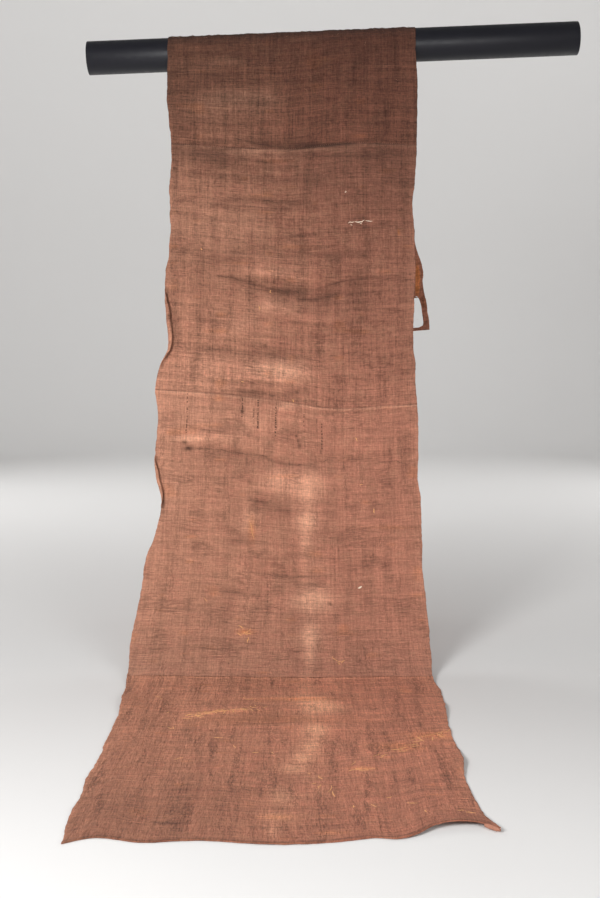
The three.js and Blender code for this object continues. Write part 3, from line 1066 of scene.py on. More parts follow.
def weave_group() -> bpy.types.NodeTree:
    """Plain weave in raffia: each thread's own tone, streaks and slubs both ways, and the weave's height.

    Returns:
        The node group.
    """
    tree, kit, given, result = new_tree(
        "ShaderNodeTree",
        "plain_raffia_weave",
        {
            "Place": VECTOR,
            "Pitch": 0.0014,
            "Coarseness": 1.0,
            "Banding": 1.0,
            "Cross": 0.6,
            "Weft Cracks": 1.0,
            "Warp Cracks": 0.8,
        },
        dict.fromkeys(("Tone", "Height", "Gap", "Crinkle", "Warmth", "Wrinkle"), FLOAT),
    )
    place = given["Place"]
    across, along = kit.apart(place)
    u = kit.madd(kit.noise(place, 9.0, 1.0), 0.006, across)
    v = kit.madd(kit.noise(place, 6.0, 1.0), 0.009, along)
    at = (u, v)

    warp_step = kit.math("DIVIDE", u, given["Pitch"])
    weft_step = kit.math("DIVIDE", v, given["Pitch"])
    crossing = kit.plus(kit.math("FLOOR", warp_step), kit.math("FLOOR", weft_step))
    over = kit.size(kit.math("MODULO", crossing, 2.0))
    warp_tone = kit.streaks(at, (700.0, 26.0), 1.0)
    weft_tone = kit.streaks(at, (22.0, 640.0), 1.0)
    thread_tone = kit.madd(kit.minus(warp_tone, weft_tone), over, weft_tone)

    weft_dash = kit.streaks(at, (75.0, 300.0), 2.0, 0.6)
    warp_dash = kit.streaks(at, (300.0, 60.0), 2.0, 0.6)
    long_weft = kit.streaks(at, (7.0, 210.0), 3.0, 0.6)
    tone = 0.0
    for source, weight in (
        (thread_tone, 0.4),
        (kit.streaks(at, (200.0, 6.0), 3.0, 0.6), 0.9),
        (long_weft, 0.75),
        (weft_dash, 0.7),
        (warp_dash, 0.7),
        (kit.streaks(at, (22.0, 84.0), 3.0, 0.6, 0.2), 0.5),
        (kit.noise(place, 30.0, 4.0, 0.65), 0.42),
        (kit.noise(place, 115.0, 3.0, 0.7), 0.7),
    ):
        tone = kit.madd(kit.centred(source), weight, tone)
    tone = kit.times(tone, given["Coarseness"])
    weft_bands = kit.centred(kit.streaks(at, (3.2, 46.0), 3.0, 0.6))
    bands = kit.plus(weft_bands, kit.centred(kit.streaks(at, (34.0, 2.0))))
    tone = kit.madd(bands, kit.times(given["Banding"], 0.6), tone)

    warp_round, weft_round = (
        kit.math("SINE", kit.times(kit.math("FRACT", step), math.pi)) for step in (warp_step, weft_step)
    )
    height = kit.times(kit.madd(kit.minus(warp_round, weft_round), over, weft_round), 0.5)
    for source, weight in ((long_weft, 1.2), (weft_dash, 1.7), (warp_dash, 1.4)):
        height = kit.madd(source, weight, height)

    weft_lines = crinkle_lines(kit, kit.streaks(at, (15.0, 88.0), 3.0, 0.6), kit.noise(place, 13.0, 1.0))
    columns = kit.streaks(at, (36.0, 5.0), 2.0, 0.6)
    warp_lines = crinkle_lines(kit, kit.streaks(at, (105.0, 34.0), 3.0, 0.6), columns)
    weft_crinkle = kit.times(weft_lines, given["Weft Cracks"])
    crinkle = kit.most(weft_crinkle, kit.times(warp_lines, given["Warp Cracks"]))
    warmth = kit.plus(kit.streaks(at, (380.0, 45.0)), kit.streaks(at, (40.0, 340.0), layer=0.4))
    warmth = kit.plus(warmth, kit.noise(place, 21.0, 2.0))
    folds = kit.size(kit.centred(kit.streaks(at, (13.0, 74.0), 3.0, 0.55)))
    cross_folds = kit.size(kit.centred(kit.streaks(at, (62.0, 15.0), 3.0, 0.6, 0.7)))
    for name, socket in (
        ("Tone", tone),
        ("Height", kit.madd(crinkle, -1.0, height)),
        ("Gap", kit.times(kit.span(weft_dash, 0.38, 0.24), kit.span(warp_dash, 0.5, 0.38))),
        ("Crinkle", crinkle),
        ("Warmth", kit.math("DIVIDE", warmth, 3.0)),
        ("Wrinkle", kit.times(kit.madd(cross_folds, given["Cross"], folds), 4.0)),
    ):
        kit.feed(result[name], socket)
    return tree


def crinkle_lines(kit: NodeKit, noise: Socket, where: Socket) -> Socket:
    """Thin broken lines, where the stiff cloth has been creased and has kept the mark.

    Args:
        kit: The tree that the nodes go to.
        noise: Drawn-out noise, whose middle value gives the lines.
        where: A slower noise that says which stretches of a line show.

    Returns:
        A mask, 1 on the lines.
    """
    off = kit.size(kit.centred(noise))
    return kit.times(kit.span(off, 0.075, 0.012), kit.span(where, 0.53, 0.64))


def thread_break_group() -> bpy.types.NodeTree:
    """Breaks a soft painted mask into threads, as rubbed colour and dirt take to raised yarn; painted light
    and shade in a mask are broken the same way.

    Returns:
        The node group.
    """
    tree, kit, given, result = new_tree(
        "ShaderNodeTree", "thread_broken_mask", {"Mask": 0.0, "Place": VECTOR}, {"Mask": FLOAT}
    )
    fine = kit.streaks(kit.apart(given["Place"]), (190.0, 120.0), 3.0, 0.65)
    wide = kit.noise(given["Place"], 38.0, 3.0, 0.6)
    grain = kit.madd(fine, 0.45, kit.madd(wide, 0.6, 0.475))
    broken = kit.times(given["Mask"], kit.most(grain, 0.0))
    kit.feed(result["Mask"], kit.math("MINIMUM", broken, 1.0))
    return tree


def slit_group() -> bpy.types.NodeTree:
    """One ladder of small gaps down a warp line.

    Returns:
        The node group.
    """
    tree, kit, given, result = new_tree(
        "ShaderNodeTree",
        "parted_warp",
        {"Place": VECTOR, "Across": 0.0, "Start": 0.0, "End": 0.1, "Width": 0.002, "Strength": 1.0},
        {"Mask": FLOAT},
    )
    across, along = kit.apart(given["Place"])
    drift = kit.times(kit.centred(kit.noise(given["Place"], 30.0, 1.0)), 0.006)
    off = kit.size(kit.minus(kit.plus(across, drift), given["Across"]))
    side = kit.span(kit.math("DIVIDE", off, given["Width"]), 1.0, 0.35)
    rungs = kit.span(kit.streaks((across, along), (90.0, 190.0), 1.0), 0.42, 0.54)
    after = kit.math("GREATER_THAN", along, given["Start"])
    before = kit.math("LESS_THAN", along, given["End"])
    mask = kit.times(kit.times(side, rungs), kit.times(after, before))
    kit.feed(result["Mask"], kit.times(mask, given["Strength"]))
    return tree


def crease_group() -> bpy.types.NodeTree:
    """One thin dark line along a crease: painted shade in its fold, and dirt that it has taken.

    Returns:
        The node group.
    """
    tree, kit, given, result = new_tree(
        "ShaderNodeTree",
        "held_crease",
        {
            "Place": VECTOR,
            "Left": 0.0,
            "Right": 0.1,
            "At Left": 0.0,
            "Drop": 0.0,
            "Sag": 0.0,
            "Width": 0.002,
            "Strength": 1.0,
        },
        {"Mask": FLOAT},
    )
    across, along = kit.apart(given["Place"])
    run = kit.minus(given["Right"], given["Left"])
    t = kit.math("DIVIDE", kit.minus(across, given["Left"]), run, clamp=True)
    bow = kit.times(kit.times(t, 4.0), kit.minus(1.0, t))
    line = kit.madd(given["Sag"], bow, kit.madd(given["Drop"], t, given["At Left"]))
    off = kit.math("DIVIDE", kit.size(kit.minus(along, line)), given["Width"])
    mask = kit.times(kit.span(off, 1.0, 0.25), kit.span(bow, 0.0, 0.35))
    kit.feed(result["Mask"], kit.times(mask, given["Strength"]))
    return tree


def new_material(name: str) -> tuple[bpy.types.Material, NodeKit]:
    """An empty material and a kit for its tree.

    Args:
        name: The material's name.

    Returns:
        The material and its kit.
    """
    made = bpy.data.materials.new(name)
    made.use_nodes = True
    made.node_tree.nodes.clear()
    return made, NodeKit(made.node_tree)


def end_material(kit: NodeKit, inputs: dict[str, object]) -> None:
    """Ends a material's tree with its shader and its output."""
    shader = kit.add("ShaderNodeBsdfPrincipled", inputs)
    kit.add("ShaderNodeOutputMaterial", {"Surface": shader.outputs["BSDF"]})


@dataclass(frozen=True)
class RaffiaFinish:
    """A woven raffia finish: its colours, its weave and how strongly it shows."""

    name: str
    base: tuple[float, float, float]
    # The colour of faded, rubbed places and of painted highlights.
    pale: tuple[float, float, float] = (0.67, 0.335, 0.218)
    # The colour of dirt and of painted shade.
    grime_and_shade: tuple[float, float, float] = (0.066, 0.03, 0.021)
    amber: tuple[float, float, float] = (0.68, 0.235, 0.085)
    rosy: tuple[float, float, float] = (1.0, 0.94, 0.95)
    tan: tuple[float, float, float] = (1.0, 1.05, 1.03)
    sunned: float = 0.15
    pitch: float = 0.0014
    coarseness: float = 1.0
    banding: float = 1.0
    cross: float = 0.5
    weft_cracks: float = 0.85
    warp_cracks: float = 0.8
    contrast: float = 0.9
    crinkle: float = 0.36
    gap: float = 0.2
    wrinkle: float = 1.6
    bump: float = 0.9
    bump_depth: float = 0.0012
    # The least painted shade and dirt that gives a crease its thin dark line.
    least_shade_and_dirt: float = 0.25
    reach: tuple[float, float] = (300.0, 2010.0)

    def material(self, groups: dict[str, bpy.types.NodeTree]) -> bpy.types.Material:
        """Builds the material.

        Args:
            groups: The shared node groups by name.

        Returns:
            The finished material.
        """
        made, kit = new_material(self.name)
        place = kit.add("ShaderNodeUVMap", uv_map=UV_NAME).outputs["UV"]
        woven = {
            "Place": kit.vector(kit.apart(place)[0], kit.attribute("weft")),
            "Pitch": self.pitch,
            "Coarseness": self.coarseness,
            "Banding": self.banding,
            "Cross": self.cross,
            "Weft Cracks": self.weft_cracks,
            "Warp Cracks": self.warp_cracks,
        }
        weave = kit.add("ShaderNodeGroup", woven, node_tree=groups["weave"]).outputs
        rosy, tan = (
            (*(channel * tint for channel, tint in zip(self.base, tints)), 1.0)
            for tints in (self.rosy, self.tan)
        )
        warmth = kit.minus(weave["Warmth"], self.sunned / 2)
        warmth = kit.madd(kit.attribute("sunned"), self.sunned, warmth)
        colour = kit.mix(kit.span(warmth, 0.38, 0.62), rosy, tan)
        fade_and_highlight, amber, grime_and_shade = (
            kit.mask(groups["broken"], {"Mask": kit.attribute(name), "Place": place})
            for name in ("fade_and_highlight", "amber", "grime_and_shade")
        )
        colour = kit.mix(fade_and_highlight, colour, (*self.pale, 1.0))
        colour = kit.mix(amber, colour, (*self.amber, 1.0))
        # The tone attribute carries painted light and shade: darker towards the rod and on its crest, lighter
        # on the left, lighter ridges and darker troughs.
        tone = kit.times(kit.madd(weave["Tone"], self.contrast, 1.0), kit.attribute("tone"))
        colour = kit.mix(1.0, colour, kit.vector(tone, tone, tone), "MULTIPLY")
        grime_and_shade = kit.most(grime_and_shade, kit.times(weave["Gap"], self.gap))
        grime_and_shade = kit.most(grime_and_shade, kit.times(weave["Crinkle"], self.crinkle))
        for slit in SLITS:
            sizes = {name.title(): getattr(slit, name) * MM for name in ("across", "start", "end", "width")}
            slit_mask = kit.mask(groups["slit"], {"Place": place, "Strength": slit.strength, **sizes})
            grime_and_shade = kit.most(grime_and_shade, slit_mask)
        creases = self.crease_lines(kit, groups["crease"], place)
        # Darkens to the grime colour: dirt, thread gaps and slits, and painted shade in creases, along seams
        # and in hollows.
        colour = kit.mix(kit.most(grime_and_shade, creases), colour, (*self.grime_and_shade, 1.0))

        height = kit.madd(weave["Wrinkle"], -self.wrinkle, kit.madd(creases, -2.0, weave["Height"]))
        relief = {"Strength": self.bump, "Distance": self.bump_depth, "Height": height}
        bump = kit.add("ShaderNodeBump", relief)
        end_material(
            kit,
            {
                "Base Color": colour,
                "Normal": bump.outputs["Normal"],
                "Roughness": kit.span(weave["Height"], 1.4, 2.8, 0.95, 0.8),
                "Specular IOR Level": 0.12,
                "Sheen Weight": 0.03,
                "Sheen Roughness": 0.6,
            },
        )
        return made

    def crease_lines(self, kit: NodeKit, tree: bpy.types.NodeTree, place: Socket) -> Socket:
        """The thin wavering dark lines of the creases within this finish's reach: painted shade and dirt.

        Args:
            kit: The material's tree.
            tree: The node group of one crease.
            place: The cloth's UV.

        Returns:
            A mask, 1 on the lines.
        """
        across, along = kit.apart(place)
        slow = kit.centred(kit.noise(place, 16.0, 1.0))
        quick = kit.centred(kit.noise(place, 75.0, 3.0, 0.6))
        wavering = kit.vector(across, kit.madd(slow, 0.02, kit.madd(quick, 0.011, along)))
        lines = 0.0
        for fold in CREASES:
            if fold.shade_and_dirt < self.least_shade_and_dirt or not self.reach[0] < fold.at_left < self.reach[1]:
                continue
            inputs = {
                "Place": wavering,
                "Left": fold.left * MM,
                "Right": fold.right * MM,
                "At Left": fold.at_left * MM,
                "Drop": (fold.at_right - fold.at_left) * MM,
                "Sag": fold.sag * MM,
                "Width": (0.9 + 0.14 * fold.spread) * MM,
                "Strength": min(0.08 + 0.62 * fold.shade_and_dirt, 0.7),
            }
            lines = kit.most(lines, kit.mask(tree, inputs))
        shown = kit.span(kit.streaks((across, along), (34.0, 20.0)), 0.36, 0.56)
        return kit.times(lines, shown)


@dataclass(frozen=True)
class PlainFinish:
    """A simple finish with a fine grain: the rod, the stitches, the strands and the stage."""

    name: str
    colour: tuple[float, float, float]
    roughness: float
    grain: float
    grain_scale: float
    specular: float = 0.5
    rough_spread: float = 0.15

    def material(self) -> bpy.types.Material:
        """Builds the material.

        Returns:
            The finished material.
        """
        made, kit = new_material(self.name)
        place = kit.add("ShaderNodeTexCoord").outputs["Object"]
        grain = kit.noise(place, self.grain_scale, 4.0, 0.6)
        dark = (*(channel * (1 - self.grain) for channel in self.colour), 1.0)
        light = (*(min(channel * (1 + self.grain), 1.0) for channel in self.colour), 1.0)
        smooth = self.roughness * (1 - self.rough_spread)
        rough = min(self.roughness * (1 + self.rough_spread), 1.0)
        end_material(
            kit,
            {
                "Base Color": kit.mix(grain, dark, light),
                "Roughness": kit.span(grain, 0.3, 0.7, smooth, rough),
                "Specular IOR Level": self.specular,
            },
        )
        return made


class Finish(Enum):
    """The finishes of the cloth's panels, from the rod to the floor."""

    TOP = RaffiaFinish(
        "raffia_dark",
        (0.435, 0.179, 0.114),
        contrast=1.2,
        banding=1.3,
        crinkle=0.4,
        gap=0.26,
        wrinkle=3.0,
        reach=(-200.0, 330.0),
    )
    UPPER = RaffiaFinish(
        "raffia_worn",
        (0.43, 0.189, 0.123),
        contrast=1.1,
        banding=1.1,
        wrinkle=2.9,
        reach=(300.0, 1120.0),
    )
    FRONT = RaffiaFinish("raffia", (0.43, 0.19, 0.124), contrast=0.85, wrinkle=2.0, reach=(1050.0, 2010.0))
    FLOOR = RaffiaFinish(
        "raffia_coarse",
        (0.435, 0.175, 0.107),
        pale=(0.68, 0.32, 0.192),
        pitch=0.0017,
        cross=1.3,
        weft_cracks=0.35,
        warp_cracks=0.9,
        contrast=0.98,
        crinkle=0.5,
        gap=0.3,
        wrinkle=2.2,
        reach=(1990.0, 3020.0),
    )


# Pieces


def link_mesh(mesh: bpy.types.Mesh, name: str, material: bpy.types.Material) -> bpy.types.Object:
    """An object for a mesh, in the scene, with its material.

    Args:
        mesh: The mesh.
        name: The object's name.
        material: Its only material.

    Returns:
        The object.
    """
    piece = bpy.data.objects.new(name, mesh)
    bpy.context.scene.collection.objects.link(piece)
    mesh.materials.clear()
    mesh.materials.append(material)
    return piece


def smooth_quads(mesh: bpy.types.Mesh) -> None:
    """Shades the sides of a mesh smooth, and leaves its many-sided ends flat."""
    for polygon in mesh.polygons:
        polygon.use_smooth = len(polygon.vertices) <= 4


def ring_solid(name: str, rings: list[list[Vector]]) -> bpy.types.Mesh:
    """A closed mesh through rings of points, with flat ends.

    Args:
        name: The mesh's name.
        rings: The rings, in order, with as many points in each.

    Returns:
        The mesh.
    """
    sides = len(rings[0])
    last = (len(rings) - 1) * sides
    faces = []
    for a in range(0, last, sides):
        b = a + sides
        for side in range(sides):
            after = (side + 1) % sides
            faces.append((a + side, a + after, b + after, b + side))
    faces.append(tuple(reversed(range(sides))))
    faces.append(tuple(range(last, last + sides)))
    mesh = bpy.data.meshes.new(name)
    mesh.from_pydata([point for ring in rings for point in ring], [], faces)
    smooth_quads(mesh)
    return mesh


def lay_copies(
    kit: NodeKit, copies: dict[str, object], spin: Socket, material: bpy.types.Material, end: Socket
) -> None:
    """Ends a geometry tree: copies on points, each turned in its place, made real and given their finish.

    Args:
        kit: The tree.
        copies: The inputs of Instance on Points.
        spin: How far each copy turns about its own upright.
        material: The copies' finish.
        end: The tree's output.
    """
    placed = kit.add("GeometryNodeInstanceOnPoints", copies).outputs["Instances"]
    turn = {"Instances": placed, "Rotation": kit.vector(0.0, 0.0, spin)}
    turned = kit.add("GeometryNodeRotateInstances", turn).outputs["Instances"]
    real = kit.add("GeometryNodeRealizeInstances", {"Geometry": turned}).outputs["Geometry"]
    paint = kit.add("GeometryNodeSetMaterial", {"Geometry": real, "Material": material})
    kit.feed(end, paint.outputs["Geometry"])


def grown_piece(
    ground: bpy.types.Mesh,
    tree: bpy.types.NodeTree,
    sizes: dict[str, float],
    name: str,
    material: bpy.types.Material,
) -> bpy.types.Object:
    """Runs a geometry tree over a mesh and keeps what it makes as a plain mesh piece.

    Args:
        ground: The mesh that goes into the tree.
        tree: The tree.
        sizes: The tree's named inputs.
        name: The piece's name.
        material: The piece's finish.

    Returns:
        The piece, which rides on the root body.
    """
    carrier = bpy.data.objects.new(ground.name, ground)
    bpy.context.scene.collection.objects.link(carrier)
    modifier = carrier.modifiers.new("growth", "NODES")
    modifier.node_group = tree
    for item in tree.interface.items_tree:
        if item.in_out == "INPUT" and item.name in sizes:
            modifier[item.identifier] = sizes[item.name]
    evaluated = carrier.evaluated_get(bpy.context.evaluated_depsgraph_get())
    mesh = bpy.data.meshes.new_from_object(evaluated)
    bpy.data.objects.remove(carrier)
    smooth_quads(mesh)
    piece = link_mesh(mesh, name, material)
    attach(piece, "root")
    LOG.info("%s: %d faces", name, len(mesh.polygons))
    return piece


@dataclass
class Panel:
    """One woven panel, as a thin closed sheet that stands for its solid."""

    name: str
    node: str
    slot: str
    start: tuple[SeamPoint, ...]
    end: tuple[SeamPoint, ...]
    finish: Finish
    rests_on: tuple[str, ...] = ()
    held: str = "draped"
    torn: bool = False
    hemmed: bool = False
    width: float = 750.0
    cell: float = 5.0
    fine_edge: float = 36.0
    fine_cell: float = 2.4
    gap: float = 0.15
    outer: float = 0.35
    inner: float = -0.85
    lap: float = 7.0
    lap_height: float = 1.5
    # Painted highlight along the lapped edge at the panel's start.
    lip_highlight: float = 0.3
    # Painted shadow and dirt along the seam, or along the hem's inner edge.
    seam_shadow_and_dirt: float = 0.45
    hem: float = 9.0
    hem_height: float = 1.5
    hem_waver: float = 1.4
    hem_shade: float = 0.26
    # Wear on the edges, and painted highlight along raised creases.
    wear_and_highlight: float = 0.22
    rubbed_reach: float = 16.0
    # Painted shade and dirt along the creases.
    crease_shade_and_dirt: float = 0.34

    def build(self, surface: ClothSurface, material: bpy.types.Material) -> bpy.types.Object:
        """Args:
            surface: The cloth's surface.
            material: The panel's finish.

        Returns:
            The panel's object.
        """
        share, along = self.grid()
        across, left, right = surface.places(share, along)
        keep = np.ones((share.shape[0] - 1, share.shape[1] - 1), bool)
        if self.torn:
            share, keep = self.tear(surface, share, along)
            across = left + (right - left) * share
        middle, normal = surface.points(share, along), surface.normals(share, along)
        outer = middle + normal * (self.outer + self.edge_lift(across, along))[..., None]
        inner = middle + normal * self.inner
        mesh = self.sheet_mesh(outer * MM, inner * MM, keep)
        self.lay_uv(mesh, across, along)
        for label, values in self.masks(surface, across, along, left, right).items():
            layer = mesh.attributes.new(label, "FLOAT", "POINT")
            layer.data.foreach_set("value", np.tile(values.ravel(), 2).astype(np.float32))
        piece = link_mesh(mesh, self.name, material)
        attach(piece, "root")
        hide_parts(self.node)
        return piece

    def ends(self, across: np.ndarray) -> tuple[np.ndarray, np.ndarray]:
        """How far along the panel starts and ends, at places across the cloth."""
        return seam_at(self.start, across), seam_at(self.end, across)

    def grid(self) -> tuple[np.ndarray, np.ndarray]:
        """The places of the mesh's points.

        Returns:
            Shares of the width and lengths along the cloth, a row for each crosswise line of the mesh.
        """
        start, end = (place[0] for place in self.ends(np.zeros(1)))
        rows = int(round((end - start) / self.cell)) + 1
        rim = np.arange(0, self.fine_edge, self.fine_cell)
        columns = int(round(self.width / self.cell))
        inner = np.linspace(self.fine_edge, self.width - self.fine_edge, columns)
        shares = np.concatenate([rim, inner, self.width - rim[::-1]]) / self.width
        share, t = np.meshgrid(shares, np.linspace(0, 1, rows))
        place = start + (end - start) * t
        left = read_table(SECTIONS, "along", "left", place)
        right = read_table(SECTIONS, "along", "right", place)
        across = left + (right - left) * share
        first, last = self.ends(across)
        first, last = first + self.gap, last - self.gap
        if self.hemmed:
            last = last + self.hem_waver * line_noise(across, 23, 2.5, Seed.HEM_LINE)
            last = last + self.hem_waver / 2 * line_noise(across, 9, 4.5, Seed.HEM_LINE + 1)
        return share, first + (last - first) * t

    def edge_lift(self, across: np.ndarray, along: np.ndarray) -> np.ndarray:
        """How far the lapped edge at the panel's start, and the rolled hem at its end, stand proud.

        Args:
            across: Places across the cloth.
            along: Places along it.

        Returns:
            The lift at those places.
        """
        first, last = self.ends(across)
        uneven = 1 + 0.35 * line_noise(across, 18, 6.5, Seed.LAP)
        lift = self.lap_height * uneven * ease(first - along, -self.lap, -self.lap * 0.55)
        if self.hemmed:
            round_hem = np.clip(1 - ((last - along) / (self.hem * 0.5) - 1) ** 2, 0, 1)
            lift = lift + self.hem_height * uneven * np.sqrt(round_hem)
        return lift

    @staticmethod
    def tear(surface: ClothSurface, share: np.ndarray, along: np.ndarray) -> tuple[np.ndarray, np.ndarray]:
        """Cuts the torn corner: cells inside its outline go, and points on its edge move onto the outline.

        Args:
            surface: The cloth's surface.
            share: The points' shares of the width.
            along: Their lengths along the cloth.

        Returns:
            The shares with the edge's points moved, and which cells of the grid stay.
        """
        across, left, right = surface.places(share, along)
        drop = surface.line.axis_z - surface.points(share, along)[..., 2]
        outline = np.array([(p.across, p.along) for p in TEAR], float)
        closed = np.vstack([outline, outline[:1]])
        steps = np.linspace(0, 1, 24, endpoint=False)[:, None]
        rim = np.vstack([a + (b - a) * steps for a, b in zip(closed[:-1], closed[1:])])
        inside = np.zeros(across.shape, bool)
        for (ax, ay), (bx, by) in zip(closed[:-1], closed[1:]):
            crosses = (ay > drop) != (by > drop)
            reach = ax + (drop - ay) * (bx - ax) / (by - ay if by != ay else 1e-9)
            inside ^= crosses & (across < reach)
        keep = ~(inside[:-1, :-1] & inside[1:, :-1] & inside[:-1, 1:] & inside[1:, 1:])
        moved = share.copy()
        for r, c in zip(*np.nonzero(inside)):
            gap = np.hypot(rim[:, 0] - across[r, c], rim[:, 1] - drop[r, c])
            nearest = rim[np.argmin(gap + 4 * np.abs(rim[:, 1] - drop[r, c]))]
            moved[r, c] = (nearest[0] - left[r, c]) / (right[r, c] - left[r, c])
        return moved, keep

    @staticmethod
    def sheet_mesh(outer: np.ndarray, inner: np.ndarray, keep: np.ndarray) -> bpy.types.Mesh:
        """A closed sheet from its two layers of points, with walls along every open edge.

        Args:
            outer: The outer layer, rows by columns by 3.
            inner: The inner layer, of the same shape.
            keep: Which cells of the grid the sheet has.

        Returns:
            The mesh.
        """
        rows, columns = outer.shape[:2]
        layer = rows * columns
        r, c = np.nonzero(keep)
        here = r * columns + c
        front = np.stack([here, here + columns, here + columns + 1, here + 1], axis=1)
        back = front[:, ::-1] + layer
        starts, ends = front.ravel(), np.roll(front, -1, axis=1).ravel()
        forward = set(zip(starts.tolist(), ends.tolist()))
        rim = [(b, a, a + layer, b + layer) for a, b in forward if (b, a) not in forward]
        rim.sort()
        faces = np.concatenate([front, back, np.array(rim, int)])
        points = np.concatenate([outer.reshape(-1, 3), inner.reshape(-1, 3)])
        mesh = bpy.data.meshes.new("sheet")
        mesh.vertices.add(len(points))
        mesh.vertices.foreach_set("co", points.astype(np.float32).ravel())
        mesh.loops.add(faces.size)
        mesh.loops.foreach_set("vertex_index", faces.astype(np.int32).ravel())
        mesh.polygons.add(len(faces))
        mesh.polygons.foreach_set("loop_start", np.arange(0, faces.size, 4, dtype=np.int32))
        smooth = np.ones(len(faces), bool)
        smooth[len(front) * 2 :] = False
        mesh.polygons.foreach_set("use_smooth", smooth)
        mesh.update(calc_edges=True)
        mesh.validate()
        return mesh

    @staticmethod
    def lay_uv(mesh: bpy.types.Mesh, across: np.ndarray, along: np.ndarray) -> None:
        """Gives the mesh a UV map in metres across and along the cloth.

        Args:
            mesh: The panel's mesh.
            across: Its points' places across the cloth.
            along: Their places along it.
        """
        uv = np.tile(np.stack([across.ravel(), along.ravel()], axis=1) * MM, (2, 1)).astype(np.float32)
        corners = np.zeros(len(mesh.loops), np.int32)
        mesh.loops.foreach_get("vertex_index", corners)
        layer = mesh.uv_layers.new(name=UV_NAME)
        layer.data.foreach_set("uv", uv[corners].ravel())

    def weft(self, along: np.ndarray, across: np.ndarray) -> np.ndarray:
        """The length at which each place's weft crosses the middle thread, as wefts follow the seams.

        Args:
            along: Places along the cloth.
            across: Places across it.

        Returns:
            The lengths, in millimetres.
        """
        first, last = self.ends(across)
        start, end = self.ends(np.zeros(1))
        return start + (end - start) * (along - first) / (last - first)

    def masks(
        self,
        surface: ClothSurface,
        across: np.ndarray,
        along: np.ndarray,
        left: np.ndarray,
        right: np.ndarray,
    ) -> dict[str, np.ndarray]:
        """What is painted on the mesh's points.

        Args:
            surface: The cloth's surface.
            across: The points' places across the cloth.
            along: Their places along it.
            left: The left selvedge at each point.
            right: The right selvedge at each point.

        Returns:
            Fade with painted highlight, grime with painted shade, undyed threads, faded red, the weft's place
            and the tone with painted light and shade, by name.
        """
        fade_and_highlight, grime_and_shade, amber = (
            sum(bell(across, along, mark) for mark in marks)
            for marks in (PALE_MARKS, DARK_MARKS, AMBER_MARKS)
        )
        broken = 0.7 + 0.5 * smooth_noise(across / 24, along / 40, Seed.CREASE_BREAK)
        # Painted shade and dirt along creases that have it, and painted highlight with wear on the other
        # raised creases.
        for fold in CREASES:
            distance, taper = fold_distance(fold, across, along)
            line = np.sqrt(taper) * ridge(distance, fold.spread * 0.5) * broken
            if fold.shade_and_dirt > 0:
                grime_and_shade = grime_and_shade + fold.shade_and_dirt * self.crease_shade_and_dirt * line
            elif fold.height > 0:
                fade_and_highlight = fade_and_highlight + self.wear_and_highlight * line
        first, last = self.ends(across)
        first, last = np.abs(along - first), np.abs(last - along)
        # A painted highlight along the lapped edge at the panel's start.
        fade_and_highlight = fade_and_highlight + self.lip_highlight * ridge(first - 3, 3)
        # Painted shadow and dirt along the seam at the panel's end, or at the hem's inner edge.
        seam_shadow_and_dirt = self.seam_shadow_and_dirt * (1 + line_noise(across, 60, 5.5, Seed.SEAM_SHADOW_AND_DIRT))
        if self.hemmed:
            grime_and_shade = grime_and_shade + 0.6 * seam_shadow_and_dirt * ridge(last - self.hem, 1.6)
        else:
            grime_and_shade = grime_and_shade + seam_shadow_and_dirt * ridge(last, 3)
        edge = np.minimum(across - left, right - across)
        fade_and_highlight = fade_and_highlight + self.wear_and_highlight * np.exp(-edge / self.rubbed_reach)
        # Painted shadow in the groove inside each curled selvedge.
        for roll in ROLLS:
            arc = surface.roll_arc(roll, along)
            grime_and_shade = grime_and_shade + 0.5 * ridge(across - left - arc, 5) * (arc > 4)
        amber = amber + 0.9 * np.clip(smooth_noise(across / 70, along / 26, Seed.AMBER) - 0.72, 0, 1)
        # Painted light and shade on the relief: ridges lighter, troughs darker, and painted shade just before
        # the hem.
        painted_light_and_shade = 0.02 * sum(fold_height(fold, across, along) for fold in FOLDS)
        painted_light_and_shade = painted_light_and_shade + 0.05 * sum(fold_height(fold, across, along) for fold in CREASES)
        if self.hemmed:
            painted_light_and_shade = painted_light_and_shade - self.hem_shade * ease(self.hem * 1.3 - last, 0, self.hem * 0.5)
        # Painted light and shade along the cloth, read at each selvedge and blended across it.
        left_tone = read_table(PAINTED_LIGHT_TONES, "along", "left", along)
        right_tone = read_table(PAINTED_LIGHT_TONES, "along", "right", along)
        tone = left_tone + (right_tone - left_tone) * ease(across, -330, 330)
        return {
            "fade_and_highlight": np.clip(fade_and_highlight, 0, 1.1),
            "grime_and_shade": np.clip(grime_and_shade, 0, 1.0),
            "amber": np.clip(amber, 0, 1.0),
            "sunned": ease(-across, -300, 300),
            "weft": self.weft(along, across) * MM,
            "tone": tone * (1 + np.clip(painted_light_and_shade, -0.4, 0.25)),
        }


@dataclass
class Rod:
    """The thick round black rod, smooth where its solid is faceted."""

    length: float = 1.5
    radius: float = 0.05
    rise: float = 2.3
    sides: int = 128
    chamfer: float = 0.0015

    def build(self, line: SideLine, middle_x: float, material: bpy.types.Material) -> bpy.types.Object:
        """Args:
            line: The side line, which says where the rod's axis is.
            middle_x: The x at which the side line holds.
            material: The rod's finish.

        Returns:
            The rod's object.
        """
        rise = math.radians(self.rise)
        axis = Vector((math.cos(rise), 0, math.sin(rise)))
        up, back = Vector((-axis.z, 0, axis.x)), Vector((0, 1, 0))
        centre = Vector((0, line.rod_y, line.axis_z - middle_x * math.tan(rise))) * MM
        half = self.length / 2
        turns = [2 * math.pi * side / self.sides for side in range(self.sides)]
        outs = [up * math.cos(turn) + back * math.sin(turn) for turn in turns]
        rings = [
            [centre + axis * place + out * radius for out in outs]
            for place, radius in (
                (-half, self.radius - self.chamfer),
                (-half + self.chamfer, self.radius),
                (half - self.chamfer, self.radius),
                (half, self.radius - self.chamfer),
            )
        ]
        piece = link_mesh(ring_solid("rod", rings), "round_rod", material)
        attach(piece, "root")
        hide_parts("rod")
        LOG.info("round_rod: %d faces", len(piece.data.polygons))
        return piece


